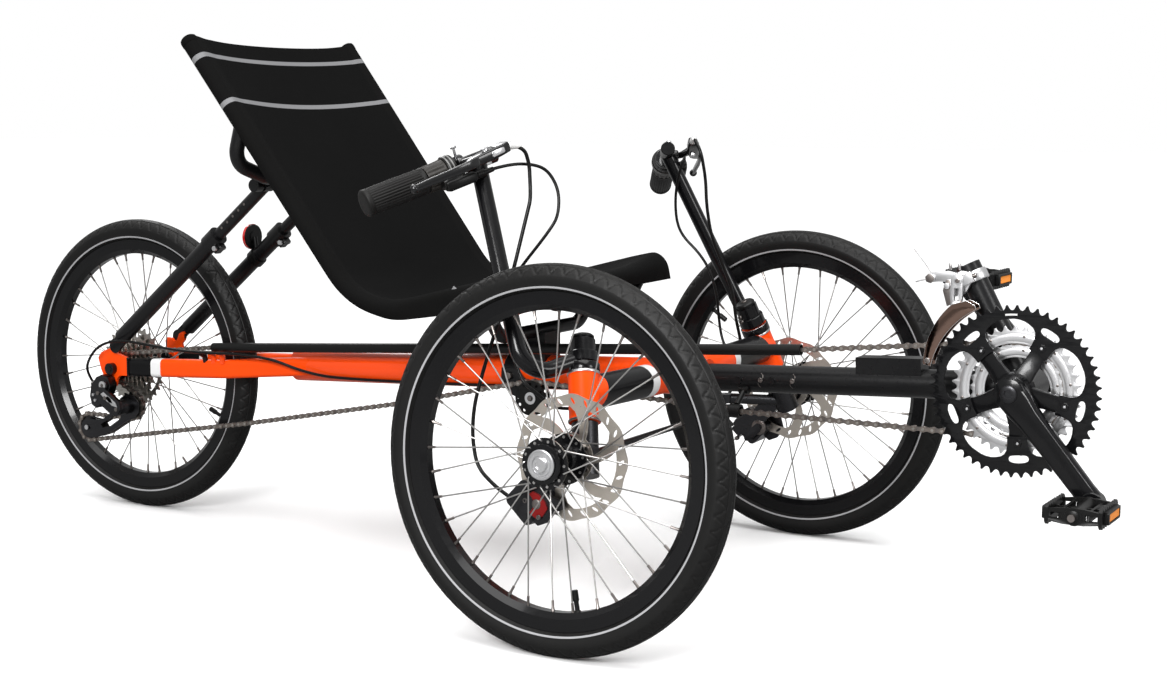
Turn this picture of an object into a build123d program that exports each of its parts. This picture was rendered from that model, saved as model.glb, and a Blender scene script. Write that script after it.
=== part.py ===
from build123d import *
import math
import os

# A recumbent tricycle: two steered wheels in front of a sling seat, one driven wheel behind it.
# X points ahead, Y to the rider's left, Z up.
# The origin is on the ground, midway between the rearmost and the foremost point.

# ---- driving dimensions, in mm and degrees ----
WHEELBASE = 1035.0
TRACK = 750.0
TYRE_R = 243.0            # 20 inch wheel with a 40 mm tyre
TYRE_W = 40.0
WALL_T = 3.5              # tyre wall
CAMBER = 2.0              # front wheels lean in at the top
BOTTOM_BRACKET_AHEAD = 470.0
BOTTOM_BRACKET_UP = 325.0
CRANK = 165.0
CRANK_BELOW = 48.0        # rest angle of the right crank below the horizontal, pointing ahead
PEDAL_HALF = 40.0         # pedal axis to the reflector face
PEDAL_W = 74.0
PEDAL_H = 20.0
PEDAL_OUT = 134.0         # middle of the pedal from the trike's middle
TUBE_R = 25.4             # main tube, 50.8 mm
BOOM_R = 19.0             # boom, slides in the main tube
TUBE_SLOPE = 0.05         # rise of the main tube per mm ahead
TUBE_UP = 301.2           # height of its centre line over the front axle

CRANK_FRONT = CRANK * math.cos(math.radians(CRANK_BELOW))
FRONT_REACH = BOTTOM_BRACKET_AHEAD + CRANK_FRONT + PEDAL_HALF
FRONT_AXLE_X = (WHEELBASE + TYRE_R - FRONT_REACH) / 2
FRONT_HUB_UP = (TYRE_R - TYRE_W / 2) * math.cos(math.radians(CAMBER)) + TYRE_W / 2
SIDES = {"right": -1, "left": 1}

os.makedirs("parts", exist_ok=True)


def at(ahead, left, up):
    """A point measured ahead of the front axle, left of the middle and up from the ground."""
    return Vector(FRONT_AXLE_X + ahead, left, up)


def rod(start, end, radius, bore=0.0):
    """A straight round bar or tube between two points."""
    start, end = Vector(start), Vector(end)
    across = Plane(origin=start, z_dir=end - start)
    length = (end - start).length
    body = extrude(across * Circle(radius), length)
    if bore:
        body -= extrude(across * Circle(bore), length)
    return body


def bent(points, bends, radius, bore=0.0):
    """A round bar or tube that follows straight runs joined by tangent arcs."""
    path = FilletPolyline(*points, radius=bends)
    across = Plane(origin=path @ 0, z_dir=path % 0)
    body = sweep(across * Circle(radius), path=path)
    if bore:
        body -= sweep(across * Circle(bore), path=path)
    return body


def turned(outline):
    """A solid of revolution about Z from (radius, height) points."""
    profile = Plane.XZ * make_face(Polyline(*outline, close=True))
    return revolve(profile, Axis.Z)


def cable(points, radius):
    """A cable housing: its arcs are as large as the runs beside them allow."""
    spots = [Vector(point) for point in points]
    bends = []
    for before, here, after in zip(spots, spots[1:], spots[2:]):
        first = here - before
        second = after - here
        half_turn = math.radians(first.get_angle(second)) / 2
        bends.append(0.45 * min(first.length, second.length) / math.tan(half_turn))
    return bent(spots, bends, radius)


def plate(points, y_low, y_high):
    """A flat plate upright along X, from (ahead, up) corners."""
    face = make_face(Polyline(*[(FRONT_AXLE_X + x, z) for x, z in points], close=True))
    return Pos(0, y_high, 0) * extrude(Plane.XZ * face, y_high - y_low)


def hexagon_bar(start, end, radius):
    """A thin straight bar with six sides."""
    start, end = Vector(start), Vector(end)
    across = Plane(origin=start, z_dir=end - start)
    return extrude(across * RegularPolygon(radius, 6), (end - start).length)


def save(name, *solids):
    """Write one node, with its solids side by side."""
    flat = []
    for item in solids:
        flat.extend(item.solids())
    part = flat[0] if len(flat) == 1 else Compound(children=flat)
    export_step(part, f"parts/{name}.step")


def tube_centre(ahead):
    """The main tube's centre line."""
    return at(ahead, 0, TUBE_UP + TUBE_SLOPE * ahead)


def side_point(place, side):
    return at(place[0], side * place[1], place[2])


# ---- wheels, built about Z with +Z outboard ----
RIM_OUT_R = 209.0
RIM_IN_R = 186.0
BEAD_R = 203.0
RIM_W = 25.0
SPOKES = 36
SPOKE_R = 1.0
CROSSES = 2
FRONT_FLANGES = {"r": 32.0, "out": 23.0, "in": -22.0}
REAR_FLANGES = {"r": 29.0, "out": 16.0, "in": -32.0}
FLANGE_T = 3.0
ROTOR_R = 80.0
ROTOR_Z = -40.0
SPINDLE_R = 10.0
REAR_AXLE_R = 5.0
RUNNING = 0.05            # radial clearance of a running fit


def tyre():
    """A hollow tyre: round crown, flatter sidewalls, and beads inside the rim's flanges."""
    middle_r = TYRE_R - TYRE_W / 2
    lip = RIM_OUT_R + 0.15
    bead_low = BEAD_R + 0.1
    bead_out = RIM_W / 2 - 2.0
    bead_in = RIM_W / 2 - 6.2
    shoulder = TYRE_W / 2 * math.sin(math.radians(75))
    shoulder_r = middle_r + TYRE_W / 2 * math.cos(math.radians(75))
    crown = ThreePointArc((shoulder_r, -shoulder), (TYRE_R, 0), (shoulder_r, shoulder))
    walls = [(shoulder_r, shoulder), (middle_r - 9, shoulder - 2.6), (lip + 1.5, bead_out + 0.4)]
    walls += [(lip, bead_out), (bead_low, bead_out), (bead_low, bead_in), (lip + 1.5, bead_in)]
    inner_half = TYRE_W / 2 - WALL_T
    walls += [(middle_r - 6, inner_half - 1.5), (middle_r + 6, inner_half - 1)]
    walls += [(TYRE_R - WALL_T - 3, inner_half / 2), (TYRE_R - WALL_T - 1, 0)]
    upper = Polyline(*walls)
    lower = mirror(upper, Plane.XZ)
    section = make_face([crown, upper, lower])
    return revolve(Plane.XZ * section, Axis.Z)


def rim():
    """A box rim with two flanges and a well between them."""
    half = RIM_W / 2
    outline = [(RIM_IN_R, -6), (RIM_IN_R, 6), (RIM_IN_R + 7, half), (RIM_OUT_R, half)]
    outline += [(RIM_OUT_R, half - 1.8), (BEAD_R, half - 1.8), (BEAD_R, half - 6.5)]
    outline += [(BEAD_R - 5, 4), (BEAD_R - 5, -4), (BEAD_R, 6.5 - half)]
    outline += [(BEAD_R, 1.8 - half), (RIM_OUT_R, 1.8 - half), (RIM_OUT_R, -half), (RIM_IN_R + 7, -half)]
    return turned(outline)


def spokes(flanges):
    """Crossed spokes, nine each way from each flange."""
    hole_r = flanges["r"] - 4.0
    off = FLANGE_T / 2 + SPOKE_R + 1.2
    step = 720.0 / SPOKES
    bars = []
    for side, first in (("out", 0.0), ("in", step / 2)):
        for count in range(SPOKES // 2):
            way = 1 if count % 2 else -1
            hub_turn = first + count * step
            rim_turn = hub_turn + way * CROSSES * step
            start = Vector(hole_r, 0, flanges[side] + way * off).rotate(Axis.Z, hub_turn)
            rim_z = 3.0 if side == "out" else -3.0
            end = Vector(RIM_IN_R - 0.4, 0, rim_z).rotate(Axis.Z, rim_turn)
            bars.append(hexagon_bar(start, end, SPOKE_R))
    return bars


def front_hub():
    """Two flanges on a waisted barrel, with a rotor seat inboard and a bore for the spindle."""
    bore = SPINDLE_R + RUNNING
    top = FRONT_FLANGES["out"]
    low = FRONT_FLANGES["in"]
    half = FLANGE_T / 2
    big = FRONT_FLANGES["r"]
    outline = [(bore, ROTOR_Z - 2), (22, ROTOR_Z - 2), (22, ROTOR_Z + 1), (26, ROTOR_Z + 1)]
    outline += [(26, low - 6), (20, low - 5), (20, low - half), (big, low - half), (big, low + half)]
    outline += [(20, low + half), (17, low + 8), (17, top - 8), (20, top - half), (big, top - half)]
    outline += [(big, top + half), (19, top + half), (18, top + 8), (bore, top + 8)]
    return turned(outline)


def rotor(plate_t=1.8):
    """A brake disc: a braking ring on six slanting arms."""
    ring = Circle(ROTOR_R) - Circle(ROTOR_R - 15)
    ring += Circle(30) - Circle(22.1)
    for count in range(6):
        arm = Pos(29, 0) * Rot(0, 0, 28) * Rectangle(44, 5, align=(Align.MIN, Align.CENTER))
        ring += Rot(0, 0, 60 * count) * arm
    ring -= Circle(22.1)
    ring = ring & Circle(ROTOR_R)
    return Pos(0, 0, ROTOR_Z - plate_t + 0.9) * extrude(ring, plate_t)


def rear_hub():
    """Two flanges on a barrel, with the body that carries the cassette outboard."""
    bore = REAR_AXLE_R + RUNNING
    top = REAR_FLANGES["out"]
    low = REAR_FLANGES["in"]
    half = FLANGE_T / 2
    big = REAR_FLANGES["r"]
    outline = [(bore, -62), (9, -62), (9, -50), (15, -46), (15, low - half), (big, low - half)]
    outline += [(big, low + half), (16, low + half), (14, low + 8), (14, top - 8), (16, top - half)]
    outline += [(big, top - half), (big, top + half), (17, top + half), (17, 60), (9, 60), (9, 62)]
    outline += [(bore, 62)]
    return turned(outline)


PITCH = 12.7
COGS = [11, 12, 14, 16, 18, 21, 26, 32]      # teeth, small cog outboard
COG_STEP = 4.8
COG_TOP = 57.0
COG_T = 1.8
CASSETTE_CORE_R = 18.3


def pitch_radius(teeth):
    return PITCH / 2 / math.sin(math.pi / teeth)


def toothed(teeth, bore_r, thick):
    """A sprocket blank with one flat-topped tooth to each chain pitch."""
    middle = pitch_radius(teeth)
    points = []
    for count in range(teeth):
        for share, height in ((-0.30, -3.6), (-0.10, 3.6), (0.10, 3.6), (0.30, -3.6)):
            turn = 2 * math.pi * (count + share) / teeth
            reach = middle + height
            points.append((reach * math.cos(turn), reach * math.sin(turn)))
    face = make_face(Polyline(*points, close=True)) - Circle(bore_r)
    return extrude(face, thick)


def cassette():
    """Eight sprockets on one body, the largest next to the spokes."""
    from_base = (Align.CENTER, Align.CENTER, Align.MIN)
    core = Cylinder(CASSETTE_CORE_R, COG_STEP * 7 + 3, align=from_base)
    stack = Pos(0, 0, COG_TOP - COG_STEP * 7 - 1) * core
    stack -= Cylinder(17.1, 300)
    for count, teeth in enumerate(COGS):
        stack += Pos(0, 0, COG_TOP - COG_STEP * count - COG_T) * toothed(teeth, 18, COG_T)
    return stack


def front_wheel_place(side):
    lean = math.radians(CAMBER)
    outboard = Vector(0, side * math.cos(lean), math.sin(lean))
    return Plane(origin=at(0, side * TRACK / 2, FRONT_HUB_UP), x_dir=(1, 0, 0), z_dir=outboard)


REAR_WHEEL_PLACE = Plane(origin=at(-WHEELBASE, 0, TYRE_R), x_dir=(1, 0, 0), z_dir=(0, -1, 0))

for name, side in SIDES.items():
    place = front_wheel_place(side)
    save(f"{name}_front_tyre", place * tyre())
    save(f"{name}_front_rim", place * rim())
    save(f"{name}_front_spokes", *[place * bar for bar in spokes(FRONT_FLANGES)])
    save(f"{name}_front_hub", place * front_hub())
    save(f"{name}_brake_rotor", place * rotor())

save("rear_tyre", REAR_WHEEL_PLACE * tyre())
save("rear_rim", REAR_WHEEL_PLACE * rim())
save("rear_spokes", *[REAR_WHEEL_PLACE * bar for bar in spokes(REAR_FLANGES)])
save("rear_hub", REAR_WHEEL_PLACE * rear_hub())
save("cassette", REAR_WHEEL_PLACE * cassette())

# ---- kingpins, knuckles and tie rod ----
KINGPIN_BACK = 0.2738     # shift back per mm up
KINGPIN_IN = 0.4071       # shift inward per mm up
KINGPIN_R = 12.7
HEAD_R = 20.0
HEAD_LOW = 277.0
HEAD_TOP = 345.0
STEERER_TOP = 382.0
ARM_END = (-65.0, 240.0, 221.0)   # tie rod pivot: ahead, outboard, up
TIE_ROD_R = 4.5
TIE_DROP = 7.5            # from the pivot down to the middle of the rod's eye
STUD_R = 4.0
TIE_LEAN = (-0.169, 0.296, 0.940)    # pivot axis at the right arm
CALIPER_TURN = 227.0      # from straight ahead, over the top, to behind and below the hub
CALIPER_IN = -62.0        # inboard face of the caliper, from the wheel's middle
CALIPER_MID = 84.0        # caliper centre from the hub's axis


def kingpin(up, side):
    return at(67.0 - KINGPIN_BACK * up, side * (400.0 - KINGPIN_IN * up), up)


def tie_pivot(side):
    """The pivot under a steering arm and the way its axis leans."""
    return side_point(ARM_END, side), Vector(TIE_LEAN[0], -side * TIE_LEAN[1], TIE_LEAN[2]).normalized()


def knuckle(side):
    """The upright: kingpin, spindle for the hub, steering arm and caliper tab."""
    place = front_wheel_place(side)
    pin = rod(kingpin(HEAD_LOW - 8, side), kingpin(STEERER_TOP, side), KINGPIN_R - RUNNING)
    crown = rod(kingpin(214, side), kingpin(HEAD_LOW - 1.2, side), 17.0)
    inner = place.from_local_coords(Vector(0, 0, ROTOR_Z - 3.0))
    root = place.from_local_coords(Vector(0, 0, -78.0))
    boss = rod(root, inner, 19.0)
    nose = place.from_local_coords(Vector(0, 0, FRONT_FLANGES["out"] + 8.4))
    spindle = rod(root, nose, SPINDLE_R)
    cap_end = place.from_local_coords(Vector(0, 0, FRONT_FLANGES["out"] + 13))
    cap = rod(nose, cap_end, 9.0) + rod(nose, nose + (cap_end - nose) * 0.3, 15.0)
    elbow = kingpin(226, side)
    end = at(ARM_END[0], side * ARM_END[1], ARM_END[2] + 12)
    arm = rod(elbow, end, 8.0)
    eye = rod(end - Vector(0, 0, 7), end + Vector(0, 0, 7), 10.0)
    pivot, lean = tie_pivot(side)
    body = pin + crown + boss + spindle + cap + arm + eye
    if side < 0:
        nut_at = pivot - lean * (TIE_DROP + 6.3)
        body += rod(pivot + lean * 8, pivot - lean * 18, STUD_R)
        body += rod(nut_at, pivot - lean * 18, STUD_R + 2.5)
    tab = Pos(47, 0, CALIPER_IN - 2.5) * Box(82, 26, 5)
    return body + place * (Rot(0, 0, -side * CALIPER_TURN) * tab)


def tie_rod():
    """A straight rod with an eye under each steering arm, each eye square to its pivot's axis."""
    bodies = None
    ends = []
    for side in (-1, 1):
        pivot, lean = tie_pivot(side)
        middle = pivot - lean * TIE_DROP
        ends.append(middle)
        eye = rod(middle - lean * 6, middle + lean * 6, 9.0, STUD_R + RUNNING if side < 0 else 0.0)
        bodies = eye if bodies is None else bodies + eye
    return bodies + rod(ends[0] + Vector(0, 7, 0), ends[1] - Vector(0, 7, 0), TIE_ROD_R)


for name, side in SIDES.items():
    save(f"{name}_knuckle", knuckle(side))
save("tie_rod", tie_rod())

# ---- handlebars ----
RISER_LOW = (-76.0, 332.0, 350.0)
RISER_TOP = (-184.0, 266.0, 604.0)
RISER_R = 11.0
CLAMP_R = 21.5            # handlebar clamp on the kingpin
BAR_END = (-268.0, 405.0, 549.0)
BAR_R = 11.0
GRIP_R = 16.5


def bar_frame(side):
    """The middle of the hand bar, its direction to the grip's end, and the way the fingers reach."""
    middle = side_point(RISER_TOP, side)
    along = (side_point(BAR_END, side) - middle).normalized()
    reach = along.cross(Vector(0, 0, 1)).normalized() * side
    up = reach.cross(along).normalized() * side
    return middle, along, reach, up


def handlebar(side):
    """A clamp on the kingpin, a bent riser and the hand bar across its top."""
    clamp = rod(kingpin(HEAD_TOP + 3, side), kingpin(STEERER_TOP - 2, side), CLAMP_R, KINGPIN_R + 0.02)
    low = side_point(RISER_LOW, side)
    top = side_point(RISER_TOP, side)
    down = (low - top).normalized()
    corner = low + down * 17
    root = kingpin(374, side) + (corner - kingpin(374, side)).normalized() * 14
    riser = bent([root, corner, top - down * 12], 34, RISER_R)
    middle, along = bar_frame(side)[:2]
    bar = rod(middle - along * 26, middle + along * 162, BAR_R)
    plug = Pos(*(top - down * 12)) * Sphere(13.5)
    body = clamp + riser + bar + plug
    body -= rod(kingpin(HEAD_TOP + 1, side), kingpin(STEERER_TOP + 6, side), KINGPIN_R + 0.02)
    return body


def grip(side):
    """A ribbed rubber sleeve with a closed end."""
    middle, along = bar_frame(side)[:2]
    sleeve = rod(middle + along * 80, middle + along * 164, GRIP_R, BAR_R + 0.05)
    for count in range(5):
        start = middle + along * (88 + 14 * count)
        sleeve += rod(start, start + along * 6, GRIP_R + 1.5, BAR_R + 0.05)
    cap = rod(middle + along * 162.2, middle + along * 168, GRIP_R)
    return sleeve + cap


def shifter(side):
    """A twist shifter: a ribbed drum on the bar, with its cable box and barrel below."""
    middle, along, reach, up = bar_frame(side)
    drum = rod(middle + along * 50, middle + along * 79, 18.0, BAR_R + 0.05)
    drum += rod(middle + along * 37, middle + along * 52, 21.0, BAR_R + 0.05)
    box = reach * SHIFT_BOX[0] + up * SHIFT_BOX[1]
    drum += rod(middle + along * 56, middle + along * 56 + box, 9.0)
    drum += rod(middle + along * 62 + box, middle + along * 20 + box, 7.5)
    drum += rod(middle + along * 22 + box, middle + along * SHIFT_EXIT + box, 4.0)
    drum -= rod(middle - along * 30, middle + along * 90, BAR_R + 0.05)
    return drum


def lever_knee(side):
    middle, along, reach, up = bar_frame(side)
    return middle + along * 4 + reach * 40 + up * 8


def brake_lever(side):
    """A lever body on its clamp, the blade in front of the grip and the cable's barrel."""
    middle, along, reach, up = bar_frame(side)
    clamp = rod(middle + along * 22, middle + along * 35, 16.0, BAR_R + 0.05)
    root = middle + along * 28 + reach * 17 + up * 4
    knee = lever_knee(side)
    hand = rod(root, knee, 8.0)
    barrel = rod(knee, middle + along * LEVER_EXIT[0] + reach * LEVER_EXIT[1] + up * LEVER_EXIT[2], 5.5)
    pivot = rod(knee - up * 9, knee + up * 9, 9.0)
    blade = bent([knee + reach * 3, middle + along * 26 + reach * 56 + up * 7,
                  middle + along * 116 + reach * 50 + up * 4], 30, 5.0)
    ball = Pos(*(middle + along * 116 + reach * 50 + up * 4)) * Sphere(6.5)
    screw = rod(middle + along * 30 + up * 14, middle + along * 30 + up * 24, 2.5)
    return clamp + hand + barrel + pivot + blade + ball + screw


def caliper(side):
    """A disc brake caliper that straddles the rotor, with its cable arm on the inboard side."""
    place = front_wheel_place(side)
    turn = -side * CALIPER_TURN
    depth = -CALIPER_IN - 26
    body = Pos(CALIPER_MID, 0, CALIPER_IN + depth / 2) * Box(42, 48, depth)
    body = fillet(body.edges().filter_by(Axis.Z), 8)
    body -= Pos(CALIPER_MID - 28.5, 0, ROTOR_Z) * Box(2 * 28, 60, 4.4)
    body -= Cylinder(57, 60)
    cover = Pos(CALIPER_MID, 0, CALIPER_IN + depth) * Cylinder(13, 5)
    body += cover
    stop = Vector(*CABLE_STOP)
    lug = Pos(CALIPER_MID + 23, side * 10, stop.Z) * Box(14, 16, 9)
    body += lug + rod(Vector(stop.X, side * 3, stop.Z), Vector(stop.X, side * stop.Y, stop.Z), 4.5)
    return place * (Rot(0, 0, turn) * body)


BRAKE_CABLE_R = 2.5
CABLE_GAP = 0.8                   # from a cable's end to what it enters
SPLIT_GAP = 1.3                   # between a gear cable's two parts beside the kingpin
CABLE_STOP = (CALIPER_MID + 26, 20.0, CALIPER_IN + 9)   # on the caliper: outward, back, from the middle
GEAR_CABLE_R = 2.2
SHIFT_EXIT = -6.0                # end of the shift barrel along the bar
SHIFT_BOX = (26.0, -13.0)         # its axis: reach, up
LEVER_EXIT = (-32.0, 38.0, 10.0)  # end of the brake barrel: along, reach, up

# points from the lever to the caliper: ahead, outboard, up
BRAKE_ROUTE = {
    "right": [(-134, 251, 623), (-127, 241, 617), (-125, 234, 599), (-122, 236, 568), (-119, 241, 553),
              (-131, 264, 461), (-140, 271, 426), (-148, 284, 377), (-157, 295, 334), (-164, 306, 289),
              (-164, 311, 250), (-154, 315, 210), (-122, 320, 188)],
    "left": [(-128, 248, 628), (-112, 240, 608), (-108, 249, 567), (-106, 249, 527), (-102, 258, 481),
             (-90, 270, 441), (-76, 283, 395), (-71, 287, 348), (-68, 299, 315), (-68, 310, 279),
             (-83, 315, 248), (-104, 321, 214), (-108, 324, 192)]}
# points from the shift barrel to beside the kingpin
GEAR_ROUTE = {
    "right": [(-144, 248, 600), (-126, 221, 599), (-112, 208, 591), (-98, 204, 566), (-95, 209, 536),
              (-98, 221, 517), (-147, 238, 452), (-148, 253, 429), (-146, 262, 399), (-127, 277, 364),
              (-108, 284, 331), (-100, 286, 320)],
    "left": [(-144, 251, 602), (-150, 248, 586), (-164, 257, 546), (-164, 260, 503), (-154, 263, 477),
             (-127, 266, 453), (-109, 270, 426), (-99, 276, 388), (-99, 283, 351), (-94, 283, 322)]}
GEAR_SPLIT = (-84.0, 278.0, 306.0)
NAMES = {-1: "right", 1: "left"}


def brake_cable(side):
    """The housing from the lever's barrel to the stop on the caliper."""
    middle, along, reach, up = bar_frame(side)
    knee = lever_knee(side)
    mouth = middle + along * LEVER_EXIT[0] + reach * LEVER_EXIT[1] + up * LEVER_EXIT[2]
    start = mouth + (mouth - knee).normalized() * CABLE_GAP
    local = Vector(CABLE_STOP[0], side * CABLE_STOP[1], CABLE_STOP[2]).rotate(Axis.Z, -side * CALIPER_TURN)
    end = front_wheel_place(side).from_local_coords(local)
    route = [side_point(point, side) for point in BRAKE_ROUTE[NAMES[side]]]
    end += (route[-1] - end).normalized() * 2 * CABLE_GAP
    return cable([start, *route, end], BRAKE_CABLE_R)


def gear_cable(side):
    """The housing from the shifter's barrel to beside the kingpin, where the frame's part takes over."""
    middle, along, reach, up = bar_frame(side)
    start = middle + along * (SHIFT_EXIT - CABLE_GAP) + reach * SHIFT_BOX[0] + up * SHIFT_BOX[1]
    route = [side_point(point, side) for point in GEAR_ROUTE[NAMES[side]]]
    return cable([start, *route, side_point(GEAR_SPLIT, side)], GEAR_CABLE_R)


for name, side in SIDES.items():
    save(f"{name}_handlebar", handlebar(side))
    save(f"{name}_grip", grip(side))
    save(f"{name}_shifter", shifter(side))
    save(f"{name}_brake_lever", brake_lever(side))
    save(f"{name}_brake_caliper", caliper(side))
    save(f"{name}_brake_cable", brake_cable(side))
    save(f"{name}_gear_cable", gear_cable(side))

# ---- frame ----
TUBE_REAR = -700.0
BOOM_REAR = -180.0
ARM_R = 22.0
TUBE_FRONT = 24.0
STAY_W = 20.0
STAY_H = 30.0
DROPOUT_Y = 66.0
DROPOUT_T = 6.0


def main_tube():
    """The backbone, a round tube that the boom slides into."""
    tube = rod(tube_centre(TUBE_REAR), tube_centre(TUBE_FRONT), TUBE_R)
    tube -= rod(tube_centre(BOOM_REAR - 20), tube_centre(TUBE_FRONT + 5), BOOM_R + 0.05)
    return tube


def cross_member():
    """Two arms from the backbone down to the head tubes."""
    body = None
    for side in (-1, 1):
        root = tube_centre(-8) + Vector(0, side * (TUBE_R - 0.5), 7)
        head = kingpin((HEAD_LOW + HEAD_TOP) / 2, side)
        arm = rod(root, head, ARM_R)
        body = arm if body is None else body + arm
    for side in (-1, 1):
        body += rod(kingpin(HEAD_LOW, side), kingpin(HEAD_TOP, side), HEAD_R)
    for side in (-1, 1):
        body -= rod(kingpin(HEAD_LOW - 30, side), kingpin(HEAD_TOP + 30, side), KINGPIN_R)
        body -= rod(kingpin(HEAD_TOP, side), kingpin(HEAD_TOP + 60, side), 40)
        body -= rod(kingpin(HEAD_LOW - 60, side), kingpin(HEAD_LOW, side), 40)
    body -= rod(tube_centre(-200), tube_centre(120), TUBE_R + 0.05)
    return body


# dropout outlines: ahead, up. The right one ends below in the derailleur's hanger.
DROPOUT_TOP = [(-1062, 238), (-1066, 262), (-1050, 280), (-1034, 294), (-1012, 292), (-1004, 272),
               (-990, 264), (-978, 264), (-978, 230)]
HANGER = [(-1012, 226), (-1024, 206), (-1050, 202), (-1056, 222)]
PLAIN_END = [(-1012, 228), (-1020, 224), (-1050, 224)]


def rear_stays():
    """Two flat stays from the backbone around the rear wheel to the dropouts."""
    body = None
    for side in (-1, 1):
        points = [at(-988, side * 60, 247), at(-815, side * 50, 256), at(-655, side * 12, 268)]
        path = FilletPolyline(*points, radius=90)
        across = Plane(origin=path @ 0, x_dir=(0, 1, 0), z_dir=path % 0)
        stay = sweep(across * RectangleRounded(STAY_W, STAY_H, 7), path=path)
        outline = DROPOUT_TOP + (HANGER if side < 0 else PLAIN_END)
        low = -DROPOUT_Y - DROPOUT_T if side < 0 else DROPOUT_Y
        wall = plate(outline, low, low + DROPOUT_T)
        wall -= rod(at(-1035, side * 40, 243), at(-1035, side * 90, 243), REAR_AXLE_R + 0.02)
        body = stay + wall if body is None else body + stay + wall
    body -= rod(tube_centre(TUBE_REAR), tube_centre(TUBE_REAR + 400), TUBE_R + 0.05)
    return body


def rear_axle():
    """The fixed axle with a nut at each end."""
    bar = rod(at(-1035, -82, 243), at(-1035, 91, 243), REAR_AXLE_R)
    for side in (-1, 1):
        outer = side * (DROPOUT_Y + DROPOUT_T + 0.1)
        bar += rod(at(-1035, outer, 243), at(-1035, outer + side * 9, 243), 9.5)
        bar += rod(at(-1035, side * 62.3, 243), at(-1035, side * (DROPOUT_Y - 0.1), 243), 8.0)
    return bar


POST_FOOT = (458.0, 0.0, 347.5)
POST_TOP = (389.0, 0.0, 476.0)
POST_R = 15.9


def boom():
    """The sliding boom with the bottom bracket shell and the front derailleur's post."""
    tube = rod(tube_centre(BOOM_REAR), tube_centre(BOTTOM_BRACKET_AHEAD - 18), BOOM_R)
    shell = rod(at(470, -34, 325), at(470, 34, 325), 20.5, 14.0)
    post = rod(at(*POST_FOOT), at(*POST_TOP), POST_R)
    tube -= rod(at(470, -40, 325), at(470, 40, 325), 20.4)
    post -= rod(at(470, -40, 325), at(470, 40, 325), 20.4)
    body = tube + shell + post
    for ahead in (78, 128):
        centre = tube_centre(ahead)
        body += rod(centre - Vector(0, BOOM_R - 1, 0), centre - Vector(0, BOOM_R + 2.5, 0), 5.0)
    return body


save("main_tube", main_tube())
save("cross_member", cross_member())
save("rear_stays", rear_stays())
save("rear_axle", rear_axle())
save("boom", boom())
mount_block = Pos(*at(291, 0, 339)) * Rot(0, -2.9, 0) * Box(90, 30, 22)
mount_block -= rod(tube_centre(200), tube_centre(400), BOOM_R + 0.05)
save("accessory_mount", mount_block)

# ---- drive ----
RINGS = {"outer": (52, -50.0), "middle": (39, -43.0), "inner": (30, -36.0)}   # teeth, y
RING_T = 2.4
SPIDER_R = 74.0           # reach of the spider's five arms
SPIDER_W = 20.0
INNER_BOLT_R = 50.0
OUTER_WINDOW_R = 90.5
SMALL_WINDOW = (85.0, 27.0, 10.0)    # middle, length and width of the window beyond each bolt


def ring_place(y):
    return Plane(origin=at(BOTTOM_BRACKET_AHEAD, y, BOTTOM_BRACKET_UP), x_dir=(1, 0, 0), z_dir=(0, -1, 0))


def spider_turn(count):
    return 72 * count + 36 - CRANK_BELOW


def chainrings():
    """Three toothed rings; the outer one has a wide window between each pair of spider arms."""
    outer_teeth, outer_y = RINGS["outer"]
    middle_teeth, middle_y = RINGS["middle"]
    inner_teeth, inner_y = RINGS["inner"]
    outer = toothed(outer_teeth, OUTER_WINDOW_R, RING_T)
    for count in range(5):
        tab = Pos(62, 0) * Rectangle(OUTER_WINDOW_R - 56, SPIDER_W + 18, align=(Align.MIN, Align.CENTER))
        outer += extrude(Rot(0, 0, spider_turn(count)) * tab, RING_T)
    for count in range(5):
        hole = Pos(SMALL_WINDOW[0], 0) * Rot(0, 0, 90) * SlotOverall(SMALL_WINDOW[1], SMALL_WINDOW[2])
        outer -= extrude(Rot(0, 0, spider_turn(count)) * hole, RING_T)
    middle = toothed(middle_teeth, 60, RING_T)
    inner = toothed(inner_teeth, 42, RING_T)
    placed = [(outer, outer_y), (middle, middle_y), (inner, inner_y)]
    return [ring_place(y + RING_T / 2) * ring for ring, y in placed]


def crank_end(turn, y):
    angle = math.radians(turn)
    return at(BOTTOM_BRACKET_AHEAD + CRANK * math.cos(angle), y, BOTTOM_BRACKET_UP + CRANK * math.sin(angle))


def cranks():
    """Both crank arms on their spindle, with the five-armed spider that carries the rings."""
    middle = at(BOTTOM_BRACKET_AHEAD, 0, BOTTOM_BRACKET_UP)
    body = rod(middle - Vector(0, 66, 0), middle + Vector(0, 66, 0), 12.0)
    for side, turn in ((-1, -CRANK_BELOW), (1, 180 - CRANK_BELOW)):
        hub = Vector(0, side * 58, 0)
        body += rod(middle + hub, middle + hub + Vector(0, side * 16, 0), 20.0)
        start = middle + Vector(0, side * 66, 0)
        end = crank_end(turn, side * 80)
        body += rod(start, end, 11.0)
        body += rod(end - Vector(0, 10, 0), end + Vector(0, 10, 0), 14.0)
        body += rod(end, crank_end(turn, side * (PEDAL_OUT + PEDAL_W / 2 + 2)), 4.5)
    star_high = RINGS["outer"][1] + RING_T / 2 + 0.05
    star_low = RINGS["middle"][1] - RING_T / 2 - 0.05
    star = Circle(26)
    for count in range(5):
        arm = Polyline((0, -11), (SPIDER_R, -SPIDER_W / 2), (SPIDER_R, SPIDER_W / 2), (0, 11), close=True)
        star += Rot(0, 0, spider_turn(count)) * make_face(arm)
    body += ring_place(star_low) * extrude(star, star_low - star_high)
    inner_face = RINGS["inner"][1] - RING_T / 2 - 0.05
    for count in range(5):
        angle = math.radians(spider_turn(count))
        spot = middle + Vector(INNER_BOLT_R * math.cos(angle), 0, INNER_BOLT_R * math.sin(angle))
        body += rod(spot + Vector(0, star_low, 0), spot + Vector(0, inner_face, 0), 4.5)
    return body


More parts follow.
